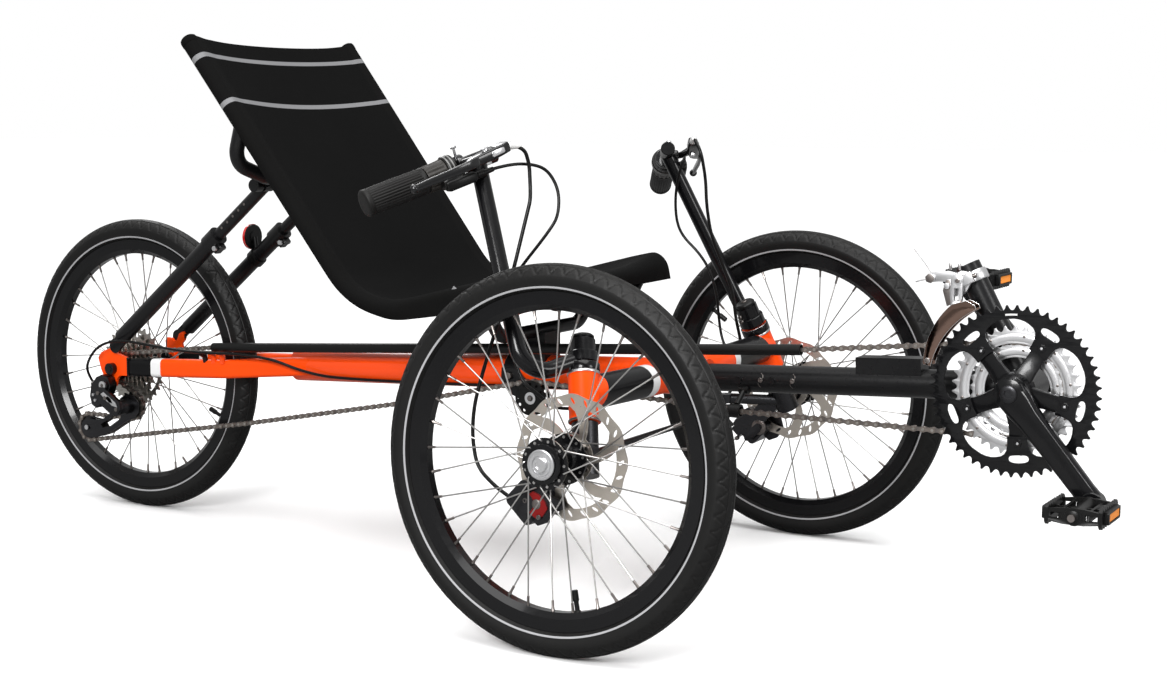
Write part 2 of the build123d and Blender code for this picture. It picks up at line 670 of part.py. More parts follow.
def pedal(side):
    """A platform pedal on its spindle, with a reflector at the front and the back."""
    turn = -CRANK_BELOW if side < 0 else 180 - CRANK_BELOW
    centre = crank_end(turn, side * PEDAL_OUT)
    long = 2 * (PEDAL_HALF - 4)
    body = Pos(*centre) * Box(long, PEDAL_W, PEDAL_H)
    for way in (-1, 1):
        body -= Pos(*(centre + Vector(way * 21.5, 0, 0))) * Box(19, PEDAL_W - 16, 2 * PEDAL_H)
    body += rod(centre - Vector(0, PEDAL_W / 2, 0), centre + Vector(0, PEDAL_W / 2, 0), 11.5)
    body -= rod(centre - Vector(0, 60, 0), centre + Vector(0, 60, 0), 4.5 + RUNNING)
    for way in (-1, 1):
        body += Pos(*(centre + Vector(way * (PEDAL_HALF - 2.5), 0, 0))) * Box(5, PEDAL_W - 22, 14)
    return body


save("chainrings", *chainrings())
save("cranks", cranks())
for name, side in SIDES.items():
    save(f"{name}_pedal", pedal(side))

# ---- chain line, in side view: each wheel is ahead, up, pitch radius, way round ----
CHAIN_W = 6.4
CHAIN_H = 8.0
PLATE_T = 1.3
TOOTH_CLEAR = 0.6
LINK_GAP = 0.35           # between neighbouring runs
SMALL_Y = -(COG_TOP - COG_T / 2)               # middle of the 11 tooth cog
LARGE_Y = RINGS["inner"][1]
PULLEY_R = pitch_radius(11)
RING_R = pitch_radius(30)
RING = {"x": BOTTOM_BRACKET_AHEAD, "z": BOTTOM_BRACKET_UP, "r": RING_R, "way": -1, "gap": RING_T / 2}
IDLER = {"x": -236.0, "z": 257.5, "r": 24.2, "way": 1, "gap": 0.0}
TENSION = {"x": -1105.0, "z": 137.0, "r": PULLEY_R, "way": -1, "gap": 1.1}
GUIDE = {"x": -1009.0, "z": 181.0, "r": PULLEY_R, "way": 1, "gap": 1.1}
COG = {"x": -WHEELBASE, "z": TYRE_R, "r": pitch_radius(11), "way": -1, "gap": COG_T / 2}
KEEPER = {"x": 85.0, "z": 266.0}
CHAIN_TUBE = [(-832.0, 290.0), (179.0, 356.0)]
SAG = [(-470.0, 229.5), (-760.0, 173.5)]


def chain_y(ahead):
    """The chain runs from the small cog to the inner ring in a straight line seen from above."""
    share = (ahead + WHEELBASE) / (WHEELBASE + BOTTOM_BRACKET_AHEAD)
    return SMALL_Y + (LARGE_Y - SMALL_Y) * share


def leaves(first, second):
    """Where the chain leaves the first wheel and meets the second, in side view."""
    across = second["x"] - first["x"]
    rise = second["z"] - first["z"]
    apart = math.hypot(across, rise)
    first_r = first.get("r", 0.0) * first.get("way", 1)
    second_r = second.get("r", 0.0) * second.get("way", 1)
    turn = math.atan2(rise, across) - math.asin((second_r - first_r) / apart)
    out = (math.sin(turn), -math.cos(turn))
    start = (first["x"] + first_r * out[0], first["z"] + first_r * out[1])
    end = (second["x"] + second_r * out[0], second["z"] + second_r * out[1])
    return start, end


def tooth_run(wheel):
    """How far past its contact point a straight run still lies over the teeth."""
    reach = wheel["r"] + 3.6 + 0.8
    return math.sqrt(reach ** 2 - (wheel["r"] - CHAIN_H / 2) ** 2) if wheel["gap"] else 0.0


def strap(start, end, cut_start=0.0, cut_end=0.0):
    """A straight run of chain between two side-view points, shortened at its ends."""
    first = at(start[0], chain_y(start[0]), start[1])
    last = at(end[0], chain_y(end[0]), end[1])
    along = (last - first).normalized()
    first = first + along * (cut_start + LINK_GAP)
    last = last - along * (cut_end + LINK_GAP)
    across = Plane(origin=first, x_dir=(0, 1, 0), z_dir=along)
    return extrude(across * Rectangle(CHAIN_W, CHAIN_H), (last - first).length)


def wrap(wheel, arrive, depart, came_from, goes_to):
    """The chain around a toothed wheel: two rows of side plates with the teeth between them."""
    run = tooth_run(wheel)
    y = chain_y(wheel["x"])
    centre = Vector(wheel["x"], wheel["z"])
    into = (Vector(*arrive) - Vector(*came_from)).normalized()
    out = (Vector(*goes_to) - Vector(*depart)).normalized()
    first = Vector(*arrive)
    last = Vector(*depart)
    cross = into.X * out.Y - into.Y * out.X
    turned_by = wheel["way"] * math.degrees(math.atan2(cross, into.dot(out))) % 360
    crown = centre + (first - centre).rotate(Axis.Z, wheel["way"] * turned_by / 2)
    rows = []
    for way in (-1, 1):
        side_y = y + way * (wheel["gap"] + TOOTH_CLEAR + PLATE_T / 2)
        spots = [at(p.X, side_y, p.Y) for p in (first - into * run, first, crown, last, last + out * run)]
        path = Line(spots[0], spots[1]) + ThreePointArc(spots[1], spots[2], spots[3])
        path += Line(spots[3], spots[4])
        across = Plane(origin=path @ 0, x_dir=(0, 1, 0), z_dir=path % 0)
        rows.append(sweep(across * Rectangle(PLATE_T, CHAIN_H), path=path))
    return rows


def chain():
    """The whole loop: ring, keeper, idler, the two derailleur pulleys, cog and chain tube."""
    tube_rear = {"x": CHAIN_TUBE[0][0], "z": CHAIN_TUBE[0][1]}
    tube_front = {"x": CHAIN_TUBE[1][0], "z": CHAIN_TUBE[1][1]}
    sag = [{"x": x, "z": z} for x, z in SAG]
    stops = [RING, KEEPER, IDLER, *sag, TENSION, GUIDE, COG, tube_rear, tube_front]
    runs = []
    for index, stop in enumerate(stops):
        following = stops[(index + 1) % len(stops)]
        runs.append((stop, following, *leaves(stop, following)))
    solids = []
    for index, (stop, following, start, end) in enumerate(runs):
        cut_start = tooth_run(stop) if stop.get("gap") else 0.0
        cut_end = tooth_run(following) if following.get("gap") else 0.0
        if math.dist(start, end) > cut_start + cut_end + 3:
            solids.append(strap(start, end, cut_start, cut_end))
        before = runs[index - 1]
        if stop.get("gap"):
            solids.extend(wrap(stop, before[3], start, before[2], end))
        elif stop.get("r"):
            solids.append(strap(before[3], start))
    return solids


def chain_tube():
    ends = [at(x, chain_y(x), z) for x, z in CHAIN_TUBE]
    return rod(ends[0], ends[1], 7.5, 5.9)


def chain_idler():
    """A grooved roller on a bracket that is clamped round the backbone."""
    y = chain_y(IDLER["x"])
    band_at = -284.0
    band = rod(tube_centre(band_at - 13), tube_centre(band_at + 13), TUBE_R + 4, TUBE_R + 0.05)
    arm = [(-297, 296), (-297, 270), (-280, 258), (-246, 246), (-228, 248), (-226, 264)]
    arm += [(-250, 276), (-271, 296)]
    bracket = band + plate(arm, -TUBE_R - 8, -TUBE_R - 4)
    bracket += plate(arm[:3] + arm[-2:], -TUBE_R - 4.5, -TUBE_R + 4)
    bracket -= rod(tube_centre(band_at - 40), tube_centre(band_at + 60), TUBE_R + 0.05)
    centre = at(IDLER["x"], 0, IDLER["z"])
    bracket += rod(centre - Vector(0, TUBE_R + 5, 0), centre + Vector(0, y - 10, 0), 4.0)
    bracket += rod(at(-283, -TUBE_R - 7, 285), at(-283, -TUBE_R - 13, 285), 6.0)
    low = IDLER["r"] - CHAIN_H / 2 - 0.3
    outline = [(4.1, -7), (low + 6, -7), (low + 6, -5.5), (low, -4.2)]
    outline += [(low, 4.2), (low + 6, 5.5), (low + 6, 7), (4.1, 7)]
    place = Plane(origin=centre + Vector(0, y, 0), x_dir=(1, 0, 0), z_dir=(0, -1, 0))
    bracket -= rod(*gear_channel(), 3.2)
    return [bracket, place * turned(outline)]


def chain_keeper():
    """A ring under the backbone that the slack run passes through."""
    centre = at(KEEPER["x"], chain_y(KEEPER["x"]), KEEPER["z"])
    along = Vector(8, 0, 0)
    ring = rod(centre - along, centre + along, 9.5, 6.8)
    top = tube_centre(KEEPER["x"]) + Vector(0, -BOOM_R * 0.72, -BOOM_R * 0.72)
    stem = rod(centre + Vector(0, 4, 8), top, 4.0)
    head = rod(top - Vector(7, 0, 0), top + Vector(7, 0, 0), 6.0)
    return ring + (stem + head - rod(centre - along * 2, centre + along * 2, 6.8)
                   - rod(tube_centre(0), tube_centre(200), BOOM_R + 0.05))


def gear_channel():
    """The straight run of the rear gear cable under the backbone."""
    return [tube_centre(ahead) + Vector(0, -GEAR_UNDER, -GEAR_UNDER) for ahead in (-600, -100)]


GEAR_UNDER = (TUBE_R + GEAR_CABLE_R + 0.3) / math.sqrt(2)


# ---- derailleurs ----
CAGE_IN_R = 112.5
CAGE_OUT_R = 134.0
CAGE_FROM = 118.0         # top of the cage, degrees over the bottom bracket from straight ahead
CAGE_TO = 168.0


def cage_point(radius, turn):
    angle = math.radians(turn)
    return (BOTTOM_BRACKET_AHEAD + radius * math.cos(angle), BOTTOM_BRACKET_UP + radius * math.sin(angle))


def cage_plate(y_low, y_high):
    """A curved plate concentric with the rings, narrowing to its tail."""
    middle = (CAGE_FROM + CAGE_TO) / 2
    inner = [cage_point(CAGE_IN_R, turn) for turn in (CAGE_FROM, middle, CAGE_TO)]
    outer = [cage_point(CAGE_OUT_R - 9, CAGE_TO), cage_point(CAGE_OUT_R - 1, middle + 4)]
    outer.append(cage_point(CAGE_OUT_R, CAGE_FROM + 12))
    flat = [(FRONT_AXLE_X + x, z) for x, z in inner + outer]
    edge = ThreePointArc(*flat[:3]) + Polyline(flat[2], flat[3], flat[4], flat[5], flat[0])
    return Pos(0, y_high, 0) * extrude(Plane.XZ * make_face(edge), y_high - y_low)


def front_derailleur():
    """A band on the post, four-bar links, and the cage around the chain."""
    foot = at(*POST_FOOT)
    top = at(*POST_TOP)
    along = (top - foot).normalized()
    band_mid = top - along * 18
    band = rod(band_mid - along * 7, band_mid + along * 7, POST_R + 3, POST_R + 0.05)
    inner_y = chain_y(380) + 6.5
    outer_y = chain_y(380) - 9.0
    inner = cage_plate(inner_y, inner_y + 1.6)
    outer = cage_plate(outer_y - 1.6, outer_y)
    corners = ((CAGE_OUT_R - 3, 131), (CAGE_OUT_R - 1, 131), (CAGE_OUT_R - 1, 143), (CAGE_OUT_R - 3, 143))
    bridge = [cage_point(reach, turn) for reach, turn in corners]
    cage = inner + outer + plate(bridge, outer_y - 0.5, inner_y + 0.5)
    tail_x, tail_z = cage_point(CAGE_OUT_R - 12, CAGE_TO - 3)
    tail = at(tail_x, 0, tail_z)
    cage += rod(tail + Vector(0, outer_y - 1, 0), tail + Vector(0, inner_y + 1, 0), 2.0)
    block = plate([(368, 440), (376, 462), (396, 470), (402, 456), (388, 438)], -22, -8)
    link_top = at(388, 0, 458)
    link_low = at(386, 0, 430)
    links = rod(link_top + Vector(0, -30, 0), link_top + Vector(0, -15, 0), 5.0)
    links += plate([(380, 424), (381, 462), (392, 462), (392, 424)], -32, -27)
    links += rod(link_low + Vector(0, inner_y - 0.3, 0), link_low + Vector(0, -20, 0), 4.0)
    arm = plate([(380, 462), (346, 464), (343, 455), (380, 450)], -26, -21)
    clamp = rod(at(350, -28, 459), at(350, -17, 459), 5.5)
    return band + cage + (block + links + arm + clamp - rod(foot, top + along * 20, POST_R + 0.05))


B_BOLT = (-1038.0, 217.0)
CAGE_GAP = 6.6            # chain line to each cage plate of the rear derailleur


def rear_derailleur():
    """A body on the hanger, parallelogram plates, and a cage with the two pulleys."""
    outer_wall = -DROPOUT_Y - DROPOUT_T - 0.1
    bolt = rod(at(B_BOLT[0], outer_wall, B_BOLT[1]), at(B_BOLT[0], outer_wall - 22, B_BOLT[1]), 9.0)
    body = [(-1054, 228), (-1036, 231), (-1026, 215), (-1034, 200), (-1056, 178), (-1068, 184), (-1070, 212)]
    knuckle = plate(body, outer_wall - 18, outer_wall - 1) + bolt
    knuckle += rod(at(-1064, outer_wall - 10, 206), at(-1071, outer_wall - 10, 219), 4.0)
    y = chain_y(GUIDE["x"])
    mid = (-1010.0, 181.0)
    front_link = [(-1050, 206), (-1034, 213), (-1004, 192), (-1014, 172), (-1040, 186)]
    back_link = [(-1052, 196), (-1040, 204), (-1008, 184), (-1014, 172)]
    links = plate(front_link, outer_wall - 23, outer_wall - 17.5)
    links += plate(back_link, outer_wall - 8, outer_wall - 3)
    inner_end = y - CAGE_GAP - 1.9
    foot = rod(at(mid[0], outer_wall - 22, mid[1]), at(mid[0], inner_end, mid[1]), 12.5)
    outline = [(-1012, 157), (-1060, 128), (-1100, 120), (-1116, 128), (-1118, 144), (-1104, 152),
               (-1070, 152), (-1036, 176), (-1030, 190), (-1014, 201), (-996, 197), (-986, 184),
               (-992, 166)]
    outer = plate(outline, y - CAGE_GAP - 2, y - CAGE_GAP)
    inner = plate(outline, y + CAGE_GAP, y + CAGE_GAP + 1.6)
    cage = outer + inner
    solids = []
    for wheel in (TENSION, GUIDE):
        centre = at(wheel["x"], 0, wheel["z"])
        cage += rod(centre + Vector(0, y - CAGE_GAP - 1, 0), centre + Vector(0, y + CAGE_GAP + 1, 0), 3.0)
        wheel_y = chain_y(wheel["x"])
        place = Plane(origin=centre + Vector(0, wheel_y + 1.1, 0), x_dir=(1, 0, 0), z_dir=(0, -1, 0))
        solids.append(place * toothed(11, 3.05, 2.2))
    return [knuckle + links + foot + cage, *solids]


save("chain_tube", chain_tube())
save("chain", *chain())
save("chain_idler", *chain_idler())
save("chain_keeper", chain_keeper())
save("front_derailleur", front_derailleur())
save("rear_derailleur", *rear_derailleur())

# ---- seat ----
RAIL_R = 11.0
STRUT_LOW = (-1024.0, 79.0, 282.0)
STRUT_JOINT = (-795.0, 79.0, 472.0)
STRUT_REACH = 1.43        # foot to the pin at the hoop, over the foot to the clamp
PIN_R = 4.0
RAIL = [(-743.0, 190.0, 766.4), (-438.0, 181.0, 377.0), (-145.0, 150.0, 441.0)]
RAIL_BEND = 120.0
SLING_T = 4.0
SLING_SAG = 22.0          # how far the middle of the sheet hangs
SAG_HALF = 132.0          # half the width that sags


def seat_frame():
    """Two bent side rails, a hoop behind the back and a brace under the seat."""
    body = None
    for side in (-1, 1):
        rail = bent([side_point(place, side) for place in RAIL], RAIL_BEND, RAIL_R)
        body = rail if body is None else body + rail
    hoop = [at(-649, -187, 647), at(-667, -185, 590), at(-662, -120, 567), at(-662, 120, 567)]
    hoop += [at(-667, 185, 590), at(-649, 187, 647)]
    body += bent(hoop, 36, 11.0)
    pin = side_point(STRUT_LOW, 1) + (side_point(STRUT_JOINT, 1) - side_point(STRUT_LOW, 1)) * STRUT_REACH
    pin_x, pin_z = pin.X - FRONT_AXLE_X, pin.Z
    for side in (-1, 1):
        for low in (STRUT_LOW[1] - 14, STRUT_LOW[1] + 10.3):
            y_low = low if side > 0 else -low - 4
            ear = [(pin_x - 10, pin_z - 9), (pin_x - 10, pin_z + 7), (-668, 577), (-655, 570), (-658, 557)]
            body += plate(ear, y_low, y_low + 4)
    body -= rod(Vector(pin.X, -120, pin.Z), Vector(pin.X, 120, pin.Z), PIN_R + 0.05)
    brace = [at(-250, -158, 412), at(-250, -112, 351), at(-250, 112, 351), at(-250, 158, 412)]
    body += bent(brace, 36, 10.0)
    front = [at(-160, -151, 437), at(-160, -116, 402), at(-160, 116, 402), at(-160, 151, 437)]
    body += bent(front, 30, 9.0)
    return body


def seat_sling():
    """The fabric between the rails, as one bent sheet."""
    lift = RAIL_R + SLING_T / 2 + 0.3
    back = Vector(*RAIL[1]) - Vector(*RAIL[0])
    pan = Vector(*RAIL[2]) - Vector(*RAIL[1])
    back_up = Vector(-back.Z, 0, back.X).normalized() * lift
    pan_up = Vector(-pan.Z, 0, pan.X).normalized() * lift
    turn = math.radians(Vector(back.X, 0, back.Z).get_angle(Vector(pan.X, 0, pan.Z)) / 2)
    top = at(RAIL[0][0], 0, RAIL[0][2]) + back_up
    corner = at(RAIL[1][0], 0, RAIL[1][2]) + (back_up + pan_up).normalized() * (lift / math.cos(turn))
    nose = at(RAIL[2][0], 0, RAIL[2][2]) + pan_up
    path = FilletPolyline(top, corner, nose, radius=RAIL_BEND - lift)
    across = Plane(origin=path @ 0, x_dir=(0, 1, 0), z_dir=path % 0)
    half = RAIL[0][1] + 30
    edges = []
    for level in (-SLING_T / 2, SLING_T / 2):
        belly = ThreePointArc((-SAG_HALF, level), (0, level - SLING_SAG), (SAG_HALF, level))
        edges += [Line((-half, level), (-SAG_HALF, level)), belly, Line((SAG_HALF, level), (half, level))]
    edges += [Line((way * half, -SLING_T / 2), (way * half, SLING_T / 2)) for way in (-1, 1)]
    sheet = sweep(across * make_face(edges), path=path)
    edges = [(FRONT_AXLE_X + place[0], -place[1] - 5) for place in RAIL]
    edges = [(edges[0][0] - 60, edges[0][1])] + edges + [(edges[2][0] + 60, edges[2][1])]
    outline = make_face(Polyline(*edges, *[(x, -y) for x, y in reversed(edges)], close=True))
    return sheet & extrude(outline, 900)


def struts():
    """Two tubes from the dropouts, each with a flat tongue below and a clamp collar on top."""
    bodies = []
    for side in (-1, 1):
        low = side_point(STRUT_LOW, side)
        joint = side_point(STRUT_JOINT, side)
        along = (joint - low).normalized()
        tube = rod(low + along * 24, joint, 12.7, 9.6)
        tongue = rod(low - Vector(0, 2.4, 0), low + Vector(0, 2.4, 0), 12.0)
        flat = Plane(origin=low, x_dir=(0, 1, 0), z_dir=along)
        tongue += extrude(flat * Rectangle(4.8, 20), 26)
        tongue = Pos(0, -side * (STRUT_LOW[1] - DROPOUT_Y - DROPOUT_T - 2.6), 0) * tongue
        collar = rod(joint - along * 24, joint + along * 1.5, 15.5, 9.6)
        ear = Plane(origin=joint - along * 11, x_dir=(0, 1, 0), z_dir=along)
        lug = extrude(ear * Pos(0, -15) * Rectangle(13, 12), 8)
        lug += extrude(ear * Pos(0, -15) * Rectangle(13, 12), -8)
        collar += lug - rod(joint - along * 30, joint + along * 10, 12)
        bolt_at = joint - along * 11
        across = Vector(0, side, 0)
        normal = along.cross(Vector(0, 1, 0)).normalized()
        bolt_at = bolt_at + normal * 16 if normal.Z < 0 else bolt_at - normal * 16
        collar += rod(bolt_at - across * 8, bolt_at + across * 10, 3.5)
        bodies.append(tube + collar + tongue)
    return bodies


def strut_slides():
    bodies = []
    for side in (-1, 1):
        low = side_point(STRUT_LOW, side)
        joint = side_point(STRUT_JOINT, side)
        top = low + (joint - low) * STRUT_REACH
        slide = rod(joint - (top - joint).normalized() * 80, top, 9.5)
        slide += rod(top - Vector(0, 10.0, 0), top + Vector(0, 10.0, 0), 10.2)
        out = Vector(0, side, 0)
        slide += rod(top - out * 17, top + out * 20, PIN_R) + rod(top + out * 15, top + out * 29, 10.0)
        bodies.append(slide)
    return bodies


def rear_reflector():
    """A round reflector that faces back, on a bracket round the left strut."""
    low = side_point(STRUT_LOW, 1)
    joint = side_point(STRUT_JOINT, 1)
    along = (joint - low).normalized()
    hold = low + along * ((REFLECTOR[0] + 12 - STRUT_LOW[0]) / along.X)
    band = rod(hold - along * 6, hold + along * 6, 15.5, 12.75)
    face = at(*REFLECTOR)
    back = face + Vector(7, 0, 0)
    disc = rod(face, back, REFLECTOR_R)
    root = back + Vector(2, 0, 0)
    stalk = rod(root, back, 9.0) + rod(root, hold + Vector(0, 0, 12), 4.0)
    stalk -= rod(low, joint, 12.75)
    return disc + band + stalk


REFLECTOR = (-864.0, 79.0, 459.0)
REFLECTOR_R = 20.5

# points of the rear gear cable from beside the right kingpin: ahead, left, up
REAR_ROUTE = [(-67, -268, 288), (-44, -244, 286), (-31, -205, 290), (-29, -160, 291), (-29, -115, 291),
              (-36, -72, 290), (-62, -42, 286)]
STAY_ROUTE = [(-668, -36, 262), (-712, -50, 279), (-770, -64, 285), (-828, -71, 283), (-884, -80, 284),
              (-944, -92, 292), (-996, -98, 296), (-1040, -98, 284), (-1068, -94, 258), (-1079, -88, 236)]
# points of the front gear cable from beside the left kingpin
FRONT_ROUTE = [(-67, 268, 288), (-44, 244, 286), (-31, 205, 290), (-29, 160, 291), (-29, 115, 291),
               (-26, 72, 287), (0, 38, 281)]


def gear_cables():
    """The housings that the frame carries: right shifter to the rear, left one to the front."""
    split = side_point(GEAR_SPLIT, -1)
    under = gear_channel()
    end = at(-1071.3, -82.1, 219.6)
    first = at(*REAR_ROUTE[0])
    route = [split + (first - split).normalized() * SPLIT_GAP, *[at(*point) for point in REAR_ROUTE]]
    route += [under[1], under[0]]
    route += [*[at(*point) for point in STAY_ROUTE], end]
    rear = cable(route, GEAR_CABLE_R)
    split = side_point(GEAR_SPLIT, 1)
    down = -(BOOM_R + GEAR_CABLE_R + 0.4) / math.sqrt(2)
    first = at(*FRONT_ROUTE[0])
    route = [split + (first - split).normalized() * SPLIT_GAP, *[at(*point) for point in FRONT_ROUTE]]
    route += [tube_centre(60) + Vector(0, -down, down), tube_centre(330) + Vector(0, -down, down)]
    front = cable(route, GEAR_CABLE_R)
    return [rear, front]


save("seat_frame", seat_frame())
save("seat_sling", seat_sling())
saddle = Pos(*at(-250, 0, 329)) * Box(40, 44, 42)
saddle -= rod(tube_centre(-300), tube_centre(-200), TUBE_R + 0.05)
saddle -= rod(at(-250, -60, 351), at(-250, 60, 351), 10.05)
save("seat_mount", saddle)
save("seat_struts", *struts())
save("strut_slides", *strut_slides())
save("rear_reflector", rear_reflector())
save("gear_cables", *gear_cables())
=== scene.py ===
# %% [markdown]
# # A recumbent tricycle
# The real trike is a steel backbone with a sling seat, two steered wheels in front and a driven wheel behind.
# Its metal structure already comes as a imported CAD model, the frame. This lesson dresses that frame: cameras
# and light first, then finishes, then every piece whose shape a CAD solid only hints at.
# Nothing is fitted by eye: each piece is placed in millimetres from the front axle, the way it was drawn.

# %% Open the frame
import math

import bmesh
import bpy
from mathutils import Matrix, Vector
from mathutils.geometry import tessellate_polygon


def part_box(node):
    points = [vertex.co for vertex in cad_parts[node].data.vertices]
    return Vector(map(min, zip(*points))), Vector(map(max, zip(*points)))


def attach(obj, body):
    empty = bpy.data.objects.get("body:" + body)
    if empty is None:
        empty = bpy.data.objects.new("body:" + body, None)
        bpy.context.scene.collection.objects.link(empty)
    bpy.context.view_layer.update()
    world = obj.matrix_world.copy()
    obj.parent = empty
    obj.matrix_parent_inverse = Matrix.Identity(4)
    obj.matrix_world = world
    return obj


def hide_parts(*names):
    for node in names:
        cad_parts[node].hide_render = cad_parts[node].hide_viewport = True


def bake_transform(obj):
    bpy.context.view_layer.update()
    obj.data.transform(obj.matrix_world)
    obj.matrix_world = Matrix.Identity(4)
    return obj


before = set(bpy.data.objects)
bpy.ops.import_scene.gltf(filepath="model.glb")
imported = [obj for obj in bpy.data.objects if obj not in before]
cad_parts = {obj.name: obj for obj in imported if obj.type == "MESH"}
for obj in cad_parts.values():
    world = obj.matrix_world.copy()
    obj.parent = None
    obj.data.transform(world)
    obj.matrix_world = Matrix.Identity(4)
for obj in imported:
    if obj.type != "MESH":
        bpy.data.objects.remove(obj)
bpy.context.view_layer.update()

# %% Measure from the front axle
low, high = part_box("right_front_tyre")
AXLE_X = (low.x + high.x) / 2 * 1000          # mm


def at(ahead, left, up):
    """A point in metres from millimetres ahead of the front axle, left of the middle and up."""
    return Vector(((AXLE_X + ahead) / 1000, left / 1000, up / 1000))


SIDES = {"right": -1, "left": 1}
print("front axle at", round(AXLE_X, 2), "mm")

# %% [markdown]
# ## Camera, light and floor
# A product shot stands the object on a white sweep, with a soft light over the camera's shoulder, weaker ones
# ahead and behind, and a wide one overhead. A floor plane and a pale sky give the same look from every side,
# where a curved backdrop would hide the object from behind.

# %% Camera
VIEW_FROM = at(1117.264, -2234.055, 666.290)
VIEW_ALONG = Vector((-0.49728774, 0.85786369, -0.12951752))
VIEW_UP = Vector((-0.06940498, 0.10947038, 0.99156401))
FOCAL_PX = 1802.70
IMAGE_W = 1167
SENSOR_W = 36.0          # mm

view_right = VIEW_ALONG.cross(VIEW_UP).normalized()
turn = Matrix((view_right, VIEW_UP, -VIEW_ALONG)).transposed().to_4x4()
camera = bpy.data.objects.new("camera", bpy.data.cameras.new("camera"))
camera.matrix_world = Matrix.Translation(VIEW_FROM) @ turn
camera.data.sensor_width = SENSOR_W
camera.data.lens = FOCAL_PX * SENSOR_W / IMAGE_W
camera.data.clip_start = 0.05
bpy.context.scene.collection.objects.link(camera)
bpy.context.scene.camera = camera
bpy.context.scene.view_settings.view_transform = "Standard"
print("lens", round(camera.data.lens, 2), "mm")

# %% Sky: white to look at, a weak light on the trike, and a stronger one in what it mirrors
SKY_SEEN, SKY_LIGHT, SKY_GLEAM = 1.0, 0.27, 0.33
world = bpy.data.worlds.new("pale studio")
world.use_nodes = True
sky = world.node_tree
sky_ray = sky.nodes.new("ShaderNodeLightPath")
sky_strength = sky.nodes.new("ShaderNodeMapRange")
sky_strength.inputs["To Min"].default_value = SKY_LIGHT
sky_strength.inputs["To Max"].default_value = SKY_SEEN
sky.links.new(sky_ray.outputs["Is Camera Ray"], sky_strength.inputs["Value"])
sky_gleam = sky.nodes.new("ShaderNodeMath")
sky_gleam.operation = "MULTIPLY_ADD"
sky_gleam.inputs[1].default_value = SKY_GLEAM
sky.links.new(sky_ray.outputs["Is Glossy Ray"], sky_gleam.inputs[0])
sky.links.new(sky_strength.outputs["Result"], sky_gleam.inputs[2])
sky.links.new(sky_gleam.outputs["Value"], sky.nodes["Background"].inputs["Strength"])
sky.nodes["Background"].inputs["Color"].default_value = (1, 1, 1, 1)
bpy.context.scene.world = world
print("sky light", SKY_LIGHT)

# %% Floor: white to the camera and darker to every other ray, so that little light comes back up
FLOOR_HALF = 30.0
FLOOR_SEEN, FLOOR_LIT = 1.0, 0.26
floor_mesh = bpy.data.meshes.new("floor")
corners = [(x * FLOOR_HALF, y * FLOOR_HALF, 0) for x, y in ((-1, -1), (1, -1), (1, 1), (-1, 1))]
floor_mesh.from_pydata(corners, [], [(0, 1, 2, 3)])
floor = bpy.data.objects.new("floor", floor_mesh)
bpy.context.scene.collection.objects.link(floor)
floor_paint = bpy.data.materials.new("floor_white")
floor_paint.use_nodes = True
floor_tree = floor_paint.node_tree
floor_shader = floor_tree.nodes["Principled BSDF"]
floor_shader.inputs["Roughness"].default_value = 0.8
floor_ray = floor_tree.nodes.new("ShaderNodeLightPath")
floor_tone = floor_tree.nodes.new("ShaderNodeMix")
floor_tone.data_type = "RGBA"
floor_tone.inputs[6].default_value = (FLOOR_LIT, FLOOR_LIT, FLOOR_LIT, 1)
floor_tone.inputs[7].default_value = (FLOOR_SEEN, FLOOR_SEEN, FLOOR_SEEN, 1)
floor_tree.links.new(floor_ray.outputs["Is Camera Ray"], floor_tone.inputs[0])
floor_tree.links.new(floor_tone.outputs[2], floor_shader.inputs["Base Color"])
floor_mesh.materials.append(floor_paint)
print("floor", 2 * FLOOR_HALF, "m across")


# %% Soft lights
def softbox(name, place, target, size, power):
    """A square light that faces the trike."""
    light = bpy.data.lights.new(name, "AREA")
    light.size = size
    light.energy = power
    holder = bpy.data.objects.new(name, light)
    holder.location = place
    holder.rotation_euler = (Vector(target) - Vector(place)).to_track_quat("-Z", "Y").to_euler()
    bpy.context.scene.collection.objects.link(holder)
    return holder


softbox("key", (0.7, -2.9, 1.7), (0, 0, 0.3), 1.0, 96)
softbox("fill", (3.2, -0.4, 1.5), (0, 0, 0.3), 0.9, 24)
softbox("rim", (-2.4, 1.6, 2.4), (-0.3, 0, 0.4), 1.0, 22)

overhead = bpy.data.objects.new("overhead", bpy.data.lights.new("overhead", "SUN"))
overhead.data.energy = 2.85
overhead.data.angle = math.radians(55)
overhead.rotation_euler = (math.radians(12), math.radians(8), 0)
bpy.context.scene.collection.objects.link(overhead)
print("four soft lights")

# %% [markdown]
# ## Finishes
# Each finish is a Principled shader. What varies over a surface, such as dust, brushing, orange peel or a
# weave, comes from a few node groups that every finish shares with its own numbers. A group gives out only
# colours, masks and normals, so the shader that uses them stays in sight in the material.


# %% A small helper for node groups
def group(name, ins, outs):
    """A shader group with named sockets, and its node and link makers."""
    tree = bpy.data.node_groups.new(name, "ShaderNodeTree")
    for label, kind, value in ins:
        socket = tree.interface.new_socket(label, in_out="INPUT", socket_type="NodeSocket" + kind)
        if value is not None:
            socket.default_value = value
    for label, kind in outs:
        tree.interface.new_socket(label, in_out="OUTPUT", socket_type="NodeSocket" + kind)
    first = tree.nodes.new("NodeGroupInput")
    last = tree.nodes.new("NodeGroupOutput")
    return tree, first, last


def give(tree, last, **sources):
    """Link a group's results to its output sockets."""
    for label, source in sources.items():
        tree.links.new(source, last.inputs[label])


def node(tree, kind, links=(), **values):
    """A node with its settings and its inputs set or linked."""
    made = tree.nodes.new("ShaderNode" + kind)
    for key, value in values.items():
        setattr(made, key, value)
    for socket, source in dict(links).items():
        if isinstance(source, bpy.types.NodeSocket):
            tree.links.new(source, made.inputs[socket])
        else:
            made.inputs[socket].default_value = source
    return made


